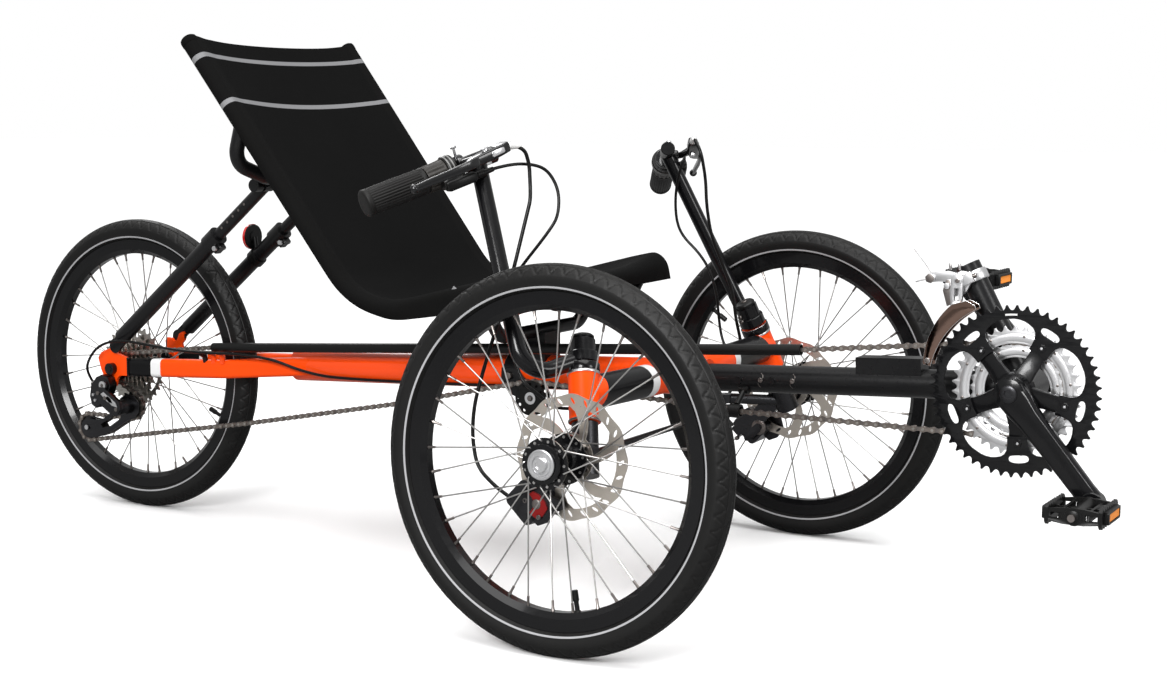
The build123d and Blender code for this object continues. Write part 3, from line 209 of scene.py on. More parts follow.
print("group helper ready")

# %% Coated surface: mottled colour, dust on what faces up, fine bumps
tree, first, last = group("coated_surface", [
    ("Color", "Color", (0.5, 0.5, 0.5, 1)), ("Dust Color", "Color", (0.55, 0.52, 0.48, 1)),
    ("Dust", "Float", 0.05), ("Mottle", "Float", 0.06), ("Scale", "Float", 60.0),
    ("Roughness", "Float", 0.4), ("Bump", "Float", 0.05)],
    [("Color", "Color"), ("Roughness", "Float"), ("Normal", "Vector")])
place = node(tree, "TexCoord")
cloud = node(tree, "TexNoise", {"Vector": place.outputs["Object"], "Scale": 9.0, "Detail": 5.0})
speck = node(tree, "TexNoise",
             {"Vector": place.outputs["Object"], "Scale": first.outputs["Scale"], "Detail": 6.0})
facing = node(tree, "SeparateXYZ", {"Vector": node(tree, "NewGeometry").outputs["Normal"]})
upward = node(tree, "MapRange", {"Value": facing.outputs["Z"], "From Min": 0.2, "From Max": 1.0})
patchy = node(tree, "MapRange", {"Value": speck.outputs["Fac"], "From Min": 0.35, "From Max": 0.75})
settled = node(tree, "Math", {0: upward.outputs["Result"], 1: patchy.outputs["Result"]},
               operation="MULTIPLY")
dusty = node(tree, "Math", {0: settled.outputs[0], 1: first.outputs["Dust"]}, operation="MULTIPLY")
shade = node(tree, "MapRange", {"Value": cloud.outputs["Fac"], "From Min": 0.3, "From Max": 0.7,
                                "To Min": -1.0, "To Max": 1.0})
swing = node(tree, "Math", {0: shade.outputs["Result"], 1: first.outputs["Mottle"], 2: 1.0},
             operation="MULTIPLY_ADD")
tinted = node(tree, "VectorMath", {0: first.outputs["Color"], "Scale": swing.outputs[0]}, operation="SCALE")
mixed = node(tree, "Mix", {0: dusty.outputs[0], 6: tinted.outputs[0], 7: first.outputs["Dust Color"]},
             data_type="RGBA")
rough = node(tree, "Math", {0: speck.outputs["Fac"], 1: 0.16, 2: -0.08}, operation="MULTIPLY_ADD")
rough_sum = node(tree, "Math", {0: rough.outputs[0], 1: first.outputs["Roughness"]}, operation="ADD")
rough_dust = node(tree, "Math", {0: dusty.outputs[0], 1: rough_sum.outputs[0]}, operation="ADD",
                  use_clamp=True)
bump = node(tree, "Bump",
            {"Strength": first.outputs["Bump"], "Distance": 0.0004, "Height": speck.outputs["Fac"]})
give(tree, last, Color=mixed.outputs[2], Roughness=rough_dust.outputs[0], Normal=bump.outputs["Normal"])
COATED = tree
print("group", tree.name)

# %% Brushed metal: fine lines drawn out along one axis
tree, first, last = group("brushed_lines", [
    ("Stretch", "Vector", (40.0, 900.0, 900.0)), ("Roughness", "Float", 0.3), ("Spread", "Float", 0.2),
    ("Bump", "Float", 0.1)], [("Mask", "Float"), ("Roughness", "Float"), ("Normal", "Vector")])
place = node(tree, "TexCoord")
drawn = node(tree, "VectorMath", {0: place.outputs["Object"], 1: first.outputs["Stretch"]},
             operation="MULTIPLY")
lines = node(tree, "TexNoise", {"Vector": drawn.outputs[0], "Scale": 1.0, "Detail": 4.0})
centred = node(tree, "Math", {0: lines.outputs["Fac"], 1: 0.5}, operation="SUBTRACT")
rough = node(tree, "Math",
             {0: centred.outputs[0], 1: first.outputs["Spread"], 2: first.outputs["Roughness"]},
             operation="MULTIPLY_ADD", use_clamp=True)
bump = node(tree, "Bump",
            {"Strength": first.outputs["Bump"], "Distance": 0.0002, "Height": lines.outputs["Fac"]})
give(tree, last, Mask=lines.outputs["Fac"], Roughness=rough.outputs[0], Normal=bump.outputs["Normal"])
BRUSHED = tree
print("group", tree.name)

# %% Woven cloth: two sets of threads in the sheet's own coordinates
tree, first, last = group("woven_threads", [
    ("Threads", "Float", 900.0), ("Dark", "Color", (0.01, 0.01, 0.01, 1)),
    ("Light", "Color", (0.03, 0.03, 0.03, 1)), ("Bump", "Float", 0.4)],
    [("Color", "Color"), ("Roughness", "Float"), ("Normal", "Vector")])
sheet_place = node(tree, "UVMap", uv_map="cloth")
weft = node(tree, "TexWave", {"Vector": sheet_place.outputs["UV"], "Scale": first.outputs["Threads"],
                              "Distortion": 0.4, "Detail": 1.0}, bands_direction="X")
warp = node(tree, "TexWave", {"Vector": sheet_place.outputs["UV"], "Scale": first.outputs["Threads"],
                              "Distortion": 0.4, "Detail": 1.0}, bands_direction="Y")
over = node(tree, "Math", {0: weft.outputs["Fac"], 1: warp.outputs["Fac"]}, operation="MULTIPLY")
cloud = node(tree, "TexNoise", {"Vector": sheet_place.outputs["UV"], "Scale": 9.0, "Detail": 5.0})
share = node(tree, "Math", {0: over.outputs[0], 1: 0.7, 2: 0.0}, operation="MULTIPLY_ADD")
share = node(tree, "Math", {0: cloud.outputs["Fac"], 1: 0.35, 2: share.outputs[0]}, operation="MULTIPLY_ADD",
             use_clamp=True)
colour = node(tree, "Mix", {0: share.outputs[0], 6: first.outputs["Dark"], 7: first.outputs["Light"]},
              data_type="RGBA")
rough = node(tree, "MapRange", {"Value": over.outputs[0], "To Min": 0.95, "To Max": 0.8})
bump = node(tree, "Bump", {"Strength": first.outputs["Bump"], "Distance": 0.0005, "Height": over.outputs[0]})
give(tree, last, Color=colour.outputs[2], Roughness=rough.outputs["Result"], Normal=bump.outputs["Normal"])
WOVEN = tree
print("group", tree.name)

# %% A band across a surface, for painted sleeves and rings
tree, first, last = group("painted_band", [
    ("From", "Float", 0.0), ("To", "Float", 1.0), ("Axis", "Vector", (0, 1, 0)), ("Lean", "Float", 0.0)],
    [("Mask", "Float")])
place = node(tree, "TexCoord")
along = node(tree, "VectorMath", {0: place.outputs["Object"], 1: first.outputs["Axis"]},
             operation="DOT_PRODUCT")
reach = node(tree, "Math", {0: along.outputs["Value"]}, operation="ABSOLUTE")
after = node(tree, "Math", {0: reach.outputs[0], 1: first.outputs["From"]}, operation="GREATER_THAN")
height = node(tree, "SeparateXYZ", {"Vector": place.outputs["Object"]})
leaned = node(tree, "Math", {0: height.outputs["Z"], 1: first.outputs["Lean"], 2: reach.outputs[0]},
              operation="MULTIPLY_ADD")
before = node(tree, "Math", {0: leaned.outputs[0], 1: first.outputs["To"]}, operation="LESS_THAN")
inside = node(tree, "Math", {0: after.outputs[0], 1: before.outputs[0]}, operation="MULTIPLY")
give(tree, last, Mask=inside.outputs[0])
BAND = tree
print("group", tree.name)


# %% Make a finish from a group
def use_group(material, tree, **values):
    """The group's node in a material, with its inputs set."""
    made = material.node_tree.nodes.new("ShaderNodeGroup")
    made.node_tree = tree
    for label, value in values.items():
        made.inputs[label.replace("_", " ")].default_value = value
    return made


def blank(name, **values):
    """A material and its shader, with constants set on the shader's own sockets."""
    material = bpy.data.materials.new(name)
    material.use_nodes = True
    shader = material.node_tree.nodes["Principled BSDF"]
    for label, value in values.items():
        shader.inputs[label.replace("_", " ")].default_value = value
    return material, shader


def wear(material, made, shader):
    """Link what a group gives out to the shader's own sockets."""
    for label, socket in (("Color", "Base Color"), ("Roughness", "Roughness"), ("Normal", "Normal")):
        if label in made.outputs:
            material.node_tree.links.new(made.outputs[label], shader.inputs[socket])
    return material


def coated(name, colour, roughness, dust=0.05, mottle=0.06, scale=60.0, bump=0.05, **values):
    """Paint, plastic or rubber."""
    material, shader = blank(name, **values)
    made = use_group(material, COATED, Color=(*colour, 1), Roughness=roughness, Dust=dust, Mottle=mottle,
                     Scale=scale, Bump=bump)
    return wear(material, made, shader)


def brushed(name, colour, roughness, spread=0.2, bump=0.1, stretch=(40, 900, 900), **values):
    """Bare or plated metal."""
    material, shader = blank(name, Base_Color=(*colour, 1), Metallic=1.0, **values)
    made = use_group(material, BRUSHED, Roughness=roughness, Spread=spread, Bump=bump, Stretch=stretch)
    return wear(material, made, shader)


ORANGE = (0.96, 0.072, 0.003)
orange_paint = coated("orange_gloss", ORANGE, 0.34, mottle=0.03, scale=220, bump=0.01, Coat_Weight=0.5,
                      Coat_Roughness=0.06, Specular_IOR_Level=0.2)
black_gloss = coated("black_gloss_paint", (0.0035, 0.0035, 0.004), 0.2, dust=0.004, scale=160, bump=0.002,
                     Coat_Weight=0.5, Coat_Roughness=0.06, Coat_IOR=1.25, Specular_IOR_Level=0.2)
black_satin = coated("black_satin_paint", (0.0045, 0.0045, 0.005), 0.3, dust=0.008, scale=300, bump=0.02,
                     Specular_IOR_Level=0.28)
black_plastic = coated("black_plastic", (0.0035, 0.0035, 0.0035), 0.36, dust=0.01, scale=500, bump=0.06,
                       Specular_IOR_Level=0.22)
housing = coated("cable_housing", (0.004, 0.004, 0.004), 0.3, dust=0.006, scale=300, bump=0.02,
                 Specular_IOR_Level=0.2)
tyre_rubber = coated("tyre_rubber", (0.0046, 0.0045, 0.0044), 0.5, dust=0.02, mottle=0.2, scale=260,
                     bump=0.2, Specular_IOR_Level=0.22)
grip_rubber = coated("grip_rubber", (0.0055, 0.0052, 0.0050), 0.55, dust=0.012, mottle=0.15, scale=500,
                     bump=0.2, Specular_IOR_Level=0.2)
stripe = coated("reflective_stripe", (0.34, 0.34, 0.35), 0.38, dust=0.0, scale=700, bump=0.1)
white_plastic = coated("white_plastic", (0.72, 0.72, 0.70), 0.35, dust=0.05, scale=300)
red_plate = coated("red_anodised", (0.33, 0.016, 0.016), 0.32, dust=0.02, scale=400, bump=0.06,
                   Metallic=0.75)
amber = coated("amber_reflector", (1.0, 0.30, 0.012), 0.3, dust=0.0, scale=150, bump=0.2,
               Specular_IOR_Level=0.12)
red_lens = coated("red_reflector", (0.55, 0.012, 0.010), 0.15, dust=0.03, scale=150, bump=0.5,
                  Coat_Weight=1.0)
rotor_steel = brushed("rotor_steel", (0.60, 0.55, 0.49), 0.34, spread=0.3, stretch=(500, 40, 500))
silver = brushed("silver_metal", (0.70, 0.70, 0.71), 0.3, spread=0.12, bump=0.01)
spoke_steel = brushed("spoke_steel", (0.46, 0.45, 0.44), 0.34, spread=0.1, bump=0.0)
bronze_mirror = brushed("bronze_mirror", (0.19, 0.125, 0.10), 0.07, spread=0.06, bump=0.01)
cog_steel = brushed("cog_steel", (0.42, 0.40, 0.37), 0.3, spread=0.3, bump=0.1)
shift_rubber = coated("shift_rubber", (0.016, 0.014, 0.012), 0.5, dust=0.03, mottle=0.15, scale=500,
                      bump=0.2, Specular_IOR_Level=0.35)
band_grey = coated("band_grey", (0.16, 0.16, 0.155), 0.35, dust=0.03, scale=400, bump=0.05)
lever_black = coated("lever_black", (0.004, 0.004, 0.0045), 0.18, dust=0.004, scale=200, bump=0.0,
                     Coat_Weight=0.8, Coat_Roughness=0.07, Coat_IOR=1.3, Specular_IOR_Level=0.3)
clear_boot = coated("clear_boot", (0.80, 0.80, 0.79), 0.3, dust=0.0, scale=300, bump=0.02)
webbing = coated("webbing", (0.009, 0.009, 0.009), 0.85, dust=0.02, mottle=0.2, scale=900, bump=0.5,
                 Specular_IOR_Level=0.2)
dark_steel = brushed("dark_steel", (0.20, 0.18, 0.17), 0.36, spread=0.3, bump=0.15)
chain_steel = brushed("chain_steel", (0.23, 0.20, 0.18), 0.38, spread=0.3, bump=0.1)
graphite = brushed("graphite_metal", (0.045, 0.045, 0.048), 0.3, spread=0.2, bump=0.06)


def woven(name, dark, light, bump, threads=314.0, **values):
    """Cloth woven in the sheet's own coordinates."""
    material, shader = blank(name, **values)
    made = use_group(material, WOVEN, Threads=threads, Dark=(*dark, 1), Light=(*light, 1), Bump=bump)
    return wear(material, made, shader)


seat_cloth = woven("seat_cloth", (0.0022, 0.0022, 0.0022), (0.0062, 0.0062, 0.0062), 0.3,
                   Specular_IOR_Level=0.07)
sleeve_cloth = woven("sleeve_cloth", (0.0024, 0.0024, 0.0024), (0.0070, 0.0068, 0.0066), 0.3,
                     Specular_IOR_Level=0.08)
cloth_stripe = woven("cloth_stripe", (0.17, 0.17, 0.175), (0.27, 0.27, 0.28), 0.1, threads=600.0,
                     Specular_IOR_Level=0.4)
print("finishes:", len(bpy.data.materials))

# %% [markdown]
# ## A maker for meshes
# Most pieces are lathed, drawn along a line or cut from plate. One small maker collects such shapes as
# plain vertices and faces, gives each shape its own finish, and turns them into one mesh. It keeps the
# numbers in millimetres inside a local place, so a wheel part is written once and set down three times.


# %% The maker
class Maker:
    """Collects shapes for one mesh."""

    def __init__(self):
        self.points = []
        self.faces = []
        self.marks = []

    def add(self, points, faces, mark=0):
        """Take in points and faces, which all get one finish."""
        start = len(self.points)
        self.points.extend(points)
        self.faces.extend([tuple(start + i for i in face) for face in faces])
        self.marks.extend([mark] * len(faces))

    def loft(self, rings, mark=0, caps=True, closed=True, loop=False):
        """A skin over rings of equally many points."""
        wide = len(rings[0])
        points = [p for ring in rings for p in ring]
        faces = []
        last = len(rings) if loop else len(rings) - 1
        for i in range(last):
            j = (i + 1) % len(rings)
            for k in range(wide if closed else wide - 1):
                m = (k + 1) % wide
                faces.append((i * wide + k, i * wide + m, j * wide + m, j * wide + k))
        if caps and closed and not loop:
            faces.append(tuple(reversed(range(wide))))
            faces.append(tuple((len(rings) - 1) * wide + k for k in range(wide)))
        self.add(points, faces, mark)

    def lathe(self, place, profile, steps=48, mark=0, loop=True):
        """A turned shape: profile holds (radius, height) in mm, round the place's Z axis."""
        rings = []
        for k in range(steps):
            angle = 2 * math.pi * k / steps
            c, s = math.cos(angle), math.sin(angle)
            rings.append([place @ Vector((r * c / 1000, r * s / 1000, z / 1000)) for r, z in profile])
        self.loft(rings, mark, caps=False, closed=loop, loop=True)

    def rod(self, path, radius, sides=12, mark=0):
        """A round bar through points in metres; radius in mm, one number or one for each point."""
        path = [Vector(p) for p in path]
        radii = [radius] * len(path) if isinstance(radius, (int, float)) else radius
        rings = []
        across = None
        for i, p in enumerate(path):
            along = (path[min(i + 1, len(path) - 1)] - path[max(i - 1, 0)]).normalized()
            if across is None:
                across = along.orthogonal().normalized()
            across = (across - along * across.dot(along)).normalized()
            other = along.cross(across)
            ring = []
            for k in range(sides):
                angle = 2 * math.pi * k / sides
                ring.append(p + (across * math.cos(angle) + other * math.sin(angle)) * radii[i] / 1000)
            rings.append(ring)
        self.loft(rings, mark)

    def plate(self, place, loops, low, high, mark=0):
        """A flat plate with holes: the first loop is its outline, in mm in the place's XY plane."""
        flat = [[Vector((x / 1000, y / 1000, 0)) for x, y in loop] for loop in loops]
        triangles = tessellate_polygon(flat)
        every = [p for loop in flat for p in loop]
        count = len(every)
        points = [place @ (p + Vector((0, 0, z / 1000))) for z in (low, high) for p in every]
        faces = []
        for a, b, c in triangles:
            turn = (every[b] - every[a]).cross(every[c] - every[a]).z
            a, b, c = (a, b, c) if turn > 0 else (a, c, b)
            faces.append((c, b, a))
            faces.append((a + count, b + count, c + count))
        start = 0
        for loop in flat:
            area = sum(p.x * q.y - q.x * p.y for p, q in zip(loop, loop[1:] + loop[:1]))
            outward = (area > 0) == (start == 0)
            for k in range(len(loop)):
                i, j = start + k, start + (k + 1) % len(loop)
                i, j = (i, j) if outward else (j, i)
                faces.append((i, j, j + count, i + count))
            start += len(loop)
        self.add(points, faces, mark)

    def block(self, place, size, mark=0, centre=(0, 0, 0), taper=1.0):
        """A box with a taper towards +Z, in mm."""
        x, y, z = (v / 2000 for v in size)
        mid = Vector(centre) / 1000
        rings = []
        for way, scale in ((-1, 1.0), (1, taper)):
            corners = ((-x, -y), (x, -y), (x, y), (-x, y))
            rings.append([place @ (mid + Vector((a * scale, b * scale, way * z))) for a, b in corners])
        self.loft(rings, mark)

    def build(self, name, body, finishes, sharp=35, bevel=0.0, slot=None):
        """The finished piece, on its body. Bevel in mm; edges over `sharp` degrees stay hard."""
        mesh = bpy.data.meshes.new(name)
        mesh.from_pydata([tuple(p) for p in self.points], [], self.faces)
        for finish in finishes:
            mesh.materials.append(finish)
        mesh.polygons.foreach_set("material_index", self.marks)
        work = bmesh.new()
        work.from_mesh(mesh)
        bmesh.ops.remove_doubles(work, verts=work.verts, dist=1e-6)
        bmesh.ops.recalc_face_normals(work, faces=work.faces)
        limit = math.radians(sharp)
        if bevel:
            hard = [e for e in work.edges if e.is_manifold and e.calc_face_angle(0) > limit]
            bmesh.ops.bevel(work, geom=hard, offset=bevel / 1000, segments=2, profile=0.6, affect="EDGES",
                            clamp_overlap=True)
        for face in work.faces:
            face.smooth = True
        for edge in work.edges:
            edge.smooth = edge.is_manifold and edge.calc_face_angle(0) <= limit
        work.to_mesh(mesh)
        work.free()
        made = bpy.data.objects.new(name, mesh)
        bpy.context.scene.collection.objects.link(made)
        if body:
            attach(made, body)
        return made


def frame_at(origin, x_way, z_way):
    """A placing matrix from an origin in metres and two directions."""
    z = Vector(z_way).normalized()
    x = Vector(x_way)
    x = (x - z * x.dot(z)).normalized()
    return Matrix.Translation(origin) @ Matrix((x, z.cross(x), z)).transposed().to_4x4()


def polar(radius, degrees):
    """A flat point from a radius and an angle."""
    return (radius * math.cos(math.radians(degrees)), radius * math.sin(math.radians(degrees)))


def arc(radius, start, end, count):
    """Points along an arc, both ends included."""
    return [polar(radius, start + (end - start) * k / (count - 1)) for k in range(count)]


def spot_on(place, radius, degrees, z):
    """A place moved out from its axis by a radius at an angle, and along it by z, in mm."""
    x, y = polar(radius, degrees)
    return place @ Matrix.Translation((x / 1000, y / 1000, z / 1000))


def hole_ring(reach, radius, count):
    """Round holes evenly spaced on a circle, in mm."""
    centres = [polar(reach, 360 * k / count) for k in range(count)]
    return [[(cx + x, cy + y) for x, y in arc(radius, 0, 315, 8)] for cx, cy in centres]


def smooth_line(points, steps=8):
    """Points in metres on a smooth line near the given ones, from a NURBS curve's own evaluation."""
    curve = bpy.data.curves.new("line", "CURVE")
    curve.dimensions = "3D"
    spline = curve.splines.new("NURBS")
    spline.points.add(len(points) - 1)
    for spot, point in zip(spline.points, points):
        spot.co = (*point, 1)
    spline.order_u = 3
    spline.use_endpoint_u = True
    spline.resolution_u = steps
    holder = bpy.data.objects.new("line", curve)
    bpy.context.scene.collection.objects.link(holder)
    bpy.context.view_layer.update()
    mesh = bpy.data.meshes.new_from_object(holder.evaluated_get(bpy.context.evaluated_depsgraph_get()))
    line = [v.co.copy() for v in mesh.vertices]
    bpy.data.objects.remove(holder)
    bpy.data.curves.remove(curve)
    bpy.data.meshes.remove(mesh)
    return line


def bolt(maker, place, radius, height, mark=0):
    """A round bolt head with a hexagon socket; the place's Z points out of it."""
    profile = [(radius, 0), (radius, height * 0.7), (radius * 0.86, height)]
    rings = []
    for r, z in profile:
        rings.append([place @ (Vector((*polar(r, 15 * k), z)) / 1000) for k in range(24)])
    inner = radius * 0.5
    for z in (height, height * 0.3):
        ring = []
        for k in range(24):
            turn = 15 * k
            reach = inner / math.cos(math.radians((turn % 60) - 30)) * 0.9
            ring.append(place @ (Vector((*polar(reach, turn), z)) / 1000))
        rings.append(ring)
    maker.loft(rings, mark)


print("maker ready")

# %% [markdown]
# ## Wheels
# A wheel is a tyre, a rim, crossed spokes with dark nipples and a hub. The CAD rim and hub turn true and
# stay. The tyre is lathed in code with its tread cut in: where a groove runs, the lathe's points sink by over
# a millimetre, so the pattern shows in the silhouette too. A pale ring on each wall is reflective tape.

# %% Where the wheels stand
WHEELBASE, HALF_TRACK, CAMBER = 1035.0, 375.0, 2.0
TYRE_R, TYRE_HALF, RIM_IN = 243.0, 20.0, 186.0
HUB_UP = (TYRE_R - TYRE_HALF) * math.cos(math.radians(CAMBER)) + TYRE_HALF
WHEELS = {"rear": frame_at(at(-WHEELBASE, 0, TYRE_R), (1, 0, 0), (0, -1, 0))}
for name, side in SIDES.items():
    lean = math.radians(CAMBER)
    outboard = (0, side * math.cos(lean), math.sin(lean))
    WHEELS[name + "_front"] = frame_at(at(0, side * HALF_TRACK, HUB_UP), (1, 0, 0), outboard)
WHEEL_BODY = {name: "rear_wheel" if name == "rear" else name + "_wheel" for name in WHEELS}
print("wheels:", sorted(WHEELS))

# %% Tyres with a cut tread
TREAD_STEPS, CROWN_STEPS = 960, 45
GROOVE = 1.3                      # depth in mm
SIDE_BLOCKS, MIDDLE_BLOCKS = 72, 36


def tread_depth(turn, across):
    """How far the tread sinks at a share of a turn and a distance from the middle, in mm."""
    wave = abs((turn * SIDE_BLOCKS) % 1 - 0.5) * 2
    reach = abs(across)
    if abs(across - 1.6 * (wave - 0.5)) < 0.7:
        return GROOVE * 0.8
    if 8.6 < reach < 10.0:
        return GROOVE * 0.7
    for lean in (0.052, -0.052):
        if 9.6 < reach < 18.8 and (turn * SIDE_BLOCKS + lean * reach) % 1 < 0.14:
            return GROOVE * 0.6
    if 2.5 < reach < 9.0 and (turn * MIDDLE_BLOCKS + 0.04 * reach) % 1 < 0.06:
        return GROOVE * 0.6
    return 0.0


def tyre(name, place, body):
    """One tyre, replacing its CAD node."""
    middle = TYRE_R - TYRE_HALF
    crown = []
    for k in range(CROWN_STEPS):
        angle = math.radians(-76 + 152 * k / (CROWN_STEPS - 1))
        crown.append((middle + TYRE_HALF * math.cos(angle), TYRE_HALF * math.sin(angle)))
    wall = [(222.0, 18.9), (218.5, 18.0), (216.0, 17.4), (215.4, 17.35), (213.0, 16.6), (212.4, 16.3),
            (211.5, 14.6), (209.3, 11.2), (203.3, 10.4), (203.3, 6.6), (210.5, 6.6), (217, 14.5),
            (229, 15.0), (236, 7.0), (238.4, 0)]
    outer = [(r, -z) for r, z in reversed(wall[:-1])]
    profile = outer + crown + wall
    first = len(outer)
    rings = []
    for k in range(TREAD_STEPS):
        share = k / TREAD_STEPS
        c, s = math.cos(2 * math.pi * share), math.sin(2 * math.pi * share)
        ring = []
        for i, (r, z) in enumerate(profile):
            if first <= i < first + CROWN_STEPS:
                sink = tread_depth(share, z)
                out = Vector((r - middle, z)).normalized()
                r, z = r - out.x * sink, z - out.y * sink
            ring.append(place @ Vector((r * c / 1000, r * s / 1000, z / 1000)))
        rings.append(ring)
    made = Maker()
    made.loft(rings, loop=True)
    wide = len(profile)
    taped = [i for i in range(wide) if {profile[i][0], profile[(i + 1) % wide][0]} == {215.4, 213.0}]
    for k in range(len(made.faces)):
        if k % wide in taped:
            made.marks[k] = 1
    piece = made.build(name, body, [tyre_rubber, stripe], sharp=30, slot="tyre")
    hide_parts(name.replace("_tread", ""))
    return piece


for name, place in WHEELS.items():
    made = tyre(name + "_tyre_tread", place, WHEEL_BODY[name])
    print(made.name, len(made.data.polygons), "faces")

# %% Spokes, nipples and valves
SPOKES, CROSSES = 36, 2
FLANGES = {"front": {"r": 32.0, "out": 23.0, "in": -22.0}, "rear": {"r": 29.0, "out": 16.0, "in": -32.0}}


def laced(name, place, flanges, body):
    """Bent-head spokes from both flanges, a nipple on each, and the valve."""
    made = Maker()
    hole = flanges["r"] - 4.0
    step = 720.0 / SPOKES
    for side, start in (("out", 0.0), ("in", step / 2)):
        for count in range(SPOKES // 2):
            way = 1 if count % 2 else -1
            hub_turn = start + count * step
            rim_turn = hub_turn + way * CROSSES * step
            z = flanges[side]
            rim_z = 3.0 if side == "out" else -3.0
            local = [(*polar(hole, hub_turn), z - way * 2.6), (*polar(hole, hub_turn), z - way * 2.0),
                     (*polar(hole, hub_turn), z + way * 1.6),
                     (*polar(hole + 1.2, hub_turn + way * 1.5), z + way * 2.6)]
            end = Vector((*polar(RIM_IN - 0.2, rim_turn), rim_z))
            lead = (end - Vector(local[-1])).normalized()
            path = [place @ (Vector(p) / 1000) for p in (*local, end - lead * 11)]
            made.rod(path, [1.9, 1.9, 1.0, 1.0, 1.0], sides=7)
            tip = [place @ (p / 1000) for p in (end - lead * 12, end - lead * 11.5, end - lead * 4,
                                                end + lead * 1)]
            made.rod(tip, [1.2, 1.7, 1.7, 2.6], sides=8, mark=1)
    valve = {"rear": -24.0, "right_front": 281.5, "left_front": 216.0}[name]
    foot = place @ (Vector((*polar(RIM_IN + 1, valve), 0)) / 1000)
    inward = (place @ (Vector((*polar(RIM_IN - 1, valve), 0)) / 1000) - foot).normalized()
    path = [foot + inward * d / 1000 for d in (-1, 1, 3, 14, 15, 27, 28)]
    made.rod(path, [5.0, 5.0, 3.1, 3.1, 4.2, 4.2, 3.2], sides=14, mark=2)
    piece = made.build(name + "_laced_spokes", body, [spoke_steel, dark_steel, black_plastic], slot="spoke")
    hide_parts(name + "_spokes")
    return piece


for name, place in WHEELS.items():
    made = laced(name, place, FLANGES[name.split("_")[-1]], WHEEL_BODY[name])
    print(made.name, len(made.data.polygons), "faces")

# %% Brake rotors
ROTOR_Z, ROTOR_HALF = -40.0, 0.9
SLOT_R, SLOT_LONG, SLOT_WIDE, SLOT_LEAN = 70.9, 5.3, 2.1, 38


def rotor(name, place, body):
    """A wavy braking ring with slanting slots, on six curved arms."""
    outline = []
    for k in range(180):
        outline.append(polar(78.6 + 1.3 * math.cos(math.radians(k * 2 * 12)), k * 2))
    loops = [outline]
    for k in range(24):
        tilt = math.radians(15 * k + SLOT_LEAN)
        cx, cy = polar(SLOT_R, 15 * k)
        slot = []
        for m in range(12):
            x, y = SLOT_LONG * math.cos(math.radians(30 * m)), SLOT_WIDE * math.sin(math.radians(30 * m))
            slot.append((cx + x * math.cos(tilt) - y * math.sin(tilt),
                         cy + x * math.sin(tilt) + y * math.cos(tilt)))
        loops.append(slot)
    for k in range(6):
        turn = 60 * k
        inner = arc(31, turn + 9, turn + 51, 8)
        rise = [polar(r, turn + 51 + (r - 31) * 0.62) for r in (40, 50, 58)]
        outer = arc(64.5, turn + 74, turn + 34, 10)
        fall = [polar(r, turn + 9 + (r - 31) * 0.62) for r in (58, 50, 40)]
        loops.append(inner + rise + outer + fall)
    loops.append(arc(22.1, 0, 350, 36))
    made = Maker()
    made.plate(place, loops, ROTOR_Z - ROTOR_HALF, ROTOR_Z + ROTOR_HALF)
    for k in range(6):
        bolt(made, spot_on(place, 26, 60 * k + 30, ROTOR_Z + ROTOR_HALF), 3.2, 2.2, mark=1)
    piece = made.build(name + "_brake_disc", body, [rotor_steel, dark_steel], slot="steel")
    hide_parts(name + "_brake_rotor")
    return piece


for name in SIDES:
    made = rotor(name, WHEELS[name + "_front"], name + "_front_wheel")
    print(made.name, len(made.data.polygons), "faces")

# %% Hub caps and flange rings
for name, side in SIDES.items():
    place = WHEELS[name + "_front"]
    made = Maker()
    cap = [(9.5, 31.6), (18.5, 31.6), (19, 32.2), (18.8, 34.0), (17.6, 35.0), (16.6, 35.0), (15.8, 33.6),
           (14.4, 33.6), (13.6, 35.2), (11.4, 35.4), (10.6, 34.2), (9.5, 34.2)]
    made.lathe(place, cap)
    nut = [(9.4, 33), (9.4, 37.2), (8.6, 38.0), (5.2, 38.0), (5.0, 36.4), (0.2, 36.4), (0.2, 33)]
    made.lathe(place, nut, steps=30)
    made.build(name + "_hub_cap", name + "_knuckle", [silver])
    made = Maker()
    made.lathe(place, [(19.4, 31.0), (24.5, 30.6), (25, 29.6), (25, 25.0), (19.4, 25.0)])
    made.build(name + "_hub_ring", name + "_front_wheel", [black_gloss])
print("hub caps on")

# %% [markdown]
# ## Drive
# The crankset carries three toothed rings on a five-armed spider. Each ring is cut as a flat plate from a
# drawn outline with its windows left out, and its edges are bevelled so they catch light. The crank arms are
# lofted: sections along the arm, thick at the axle and slim at the pedal, joined by one skin.

# %% The crank's place
PITCH = 12.7
CRANK_AHEAD, CRANK_UP = 470.0, 325.0
AXLE = at(CRANK_AHEAD, 0, CRANK_UP)
CRANK, CRANK_BELOW = 165.0, 48.0
RINGS = {"outer": (52, -50.0), "middle": (39, -43.0), "inner": (30, -36.0)}


def crank_turn(side):
    """Degrees from straight ahead up to the crank arm of a side."""
    return -CRANK_BELOW if side < 0 else 180 - CRANK_BELOW


def spider_turn(count):
    """Degrees up from straight ahead to a spider arm."""
    return 72 * count + 36 - CRANK_BELOW


def ring_place(y):
    """A place on the crank's axis with +Z to the right of the trike."""
    return frame_at(AXLE + Vector((0, y / 1000, 0)), (1, 0, 0), (0, -1, 0))


def pitch_radius(teeth):
    """The circle that the chain's pins lie on, in mm."""
    return PITCH / 2 / math.sin(math.pi / teeth)


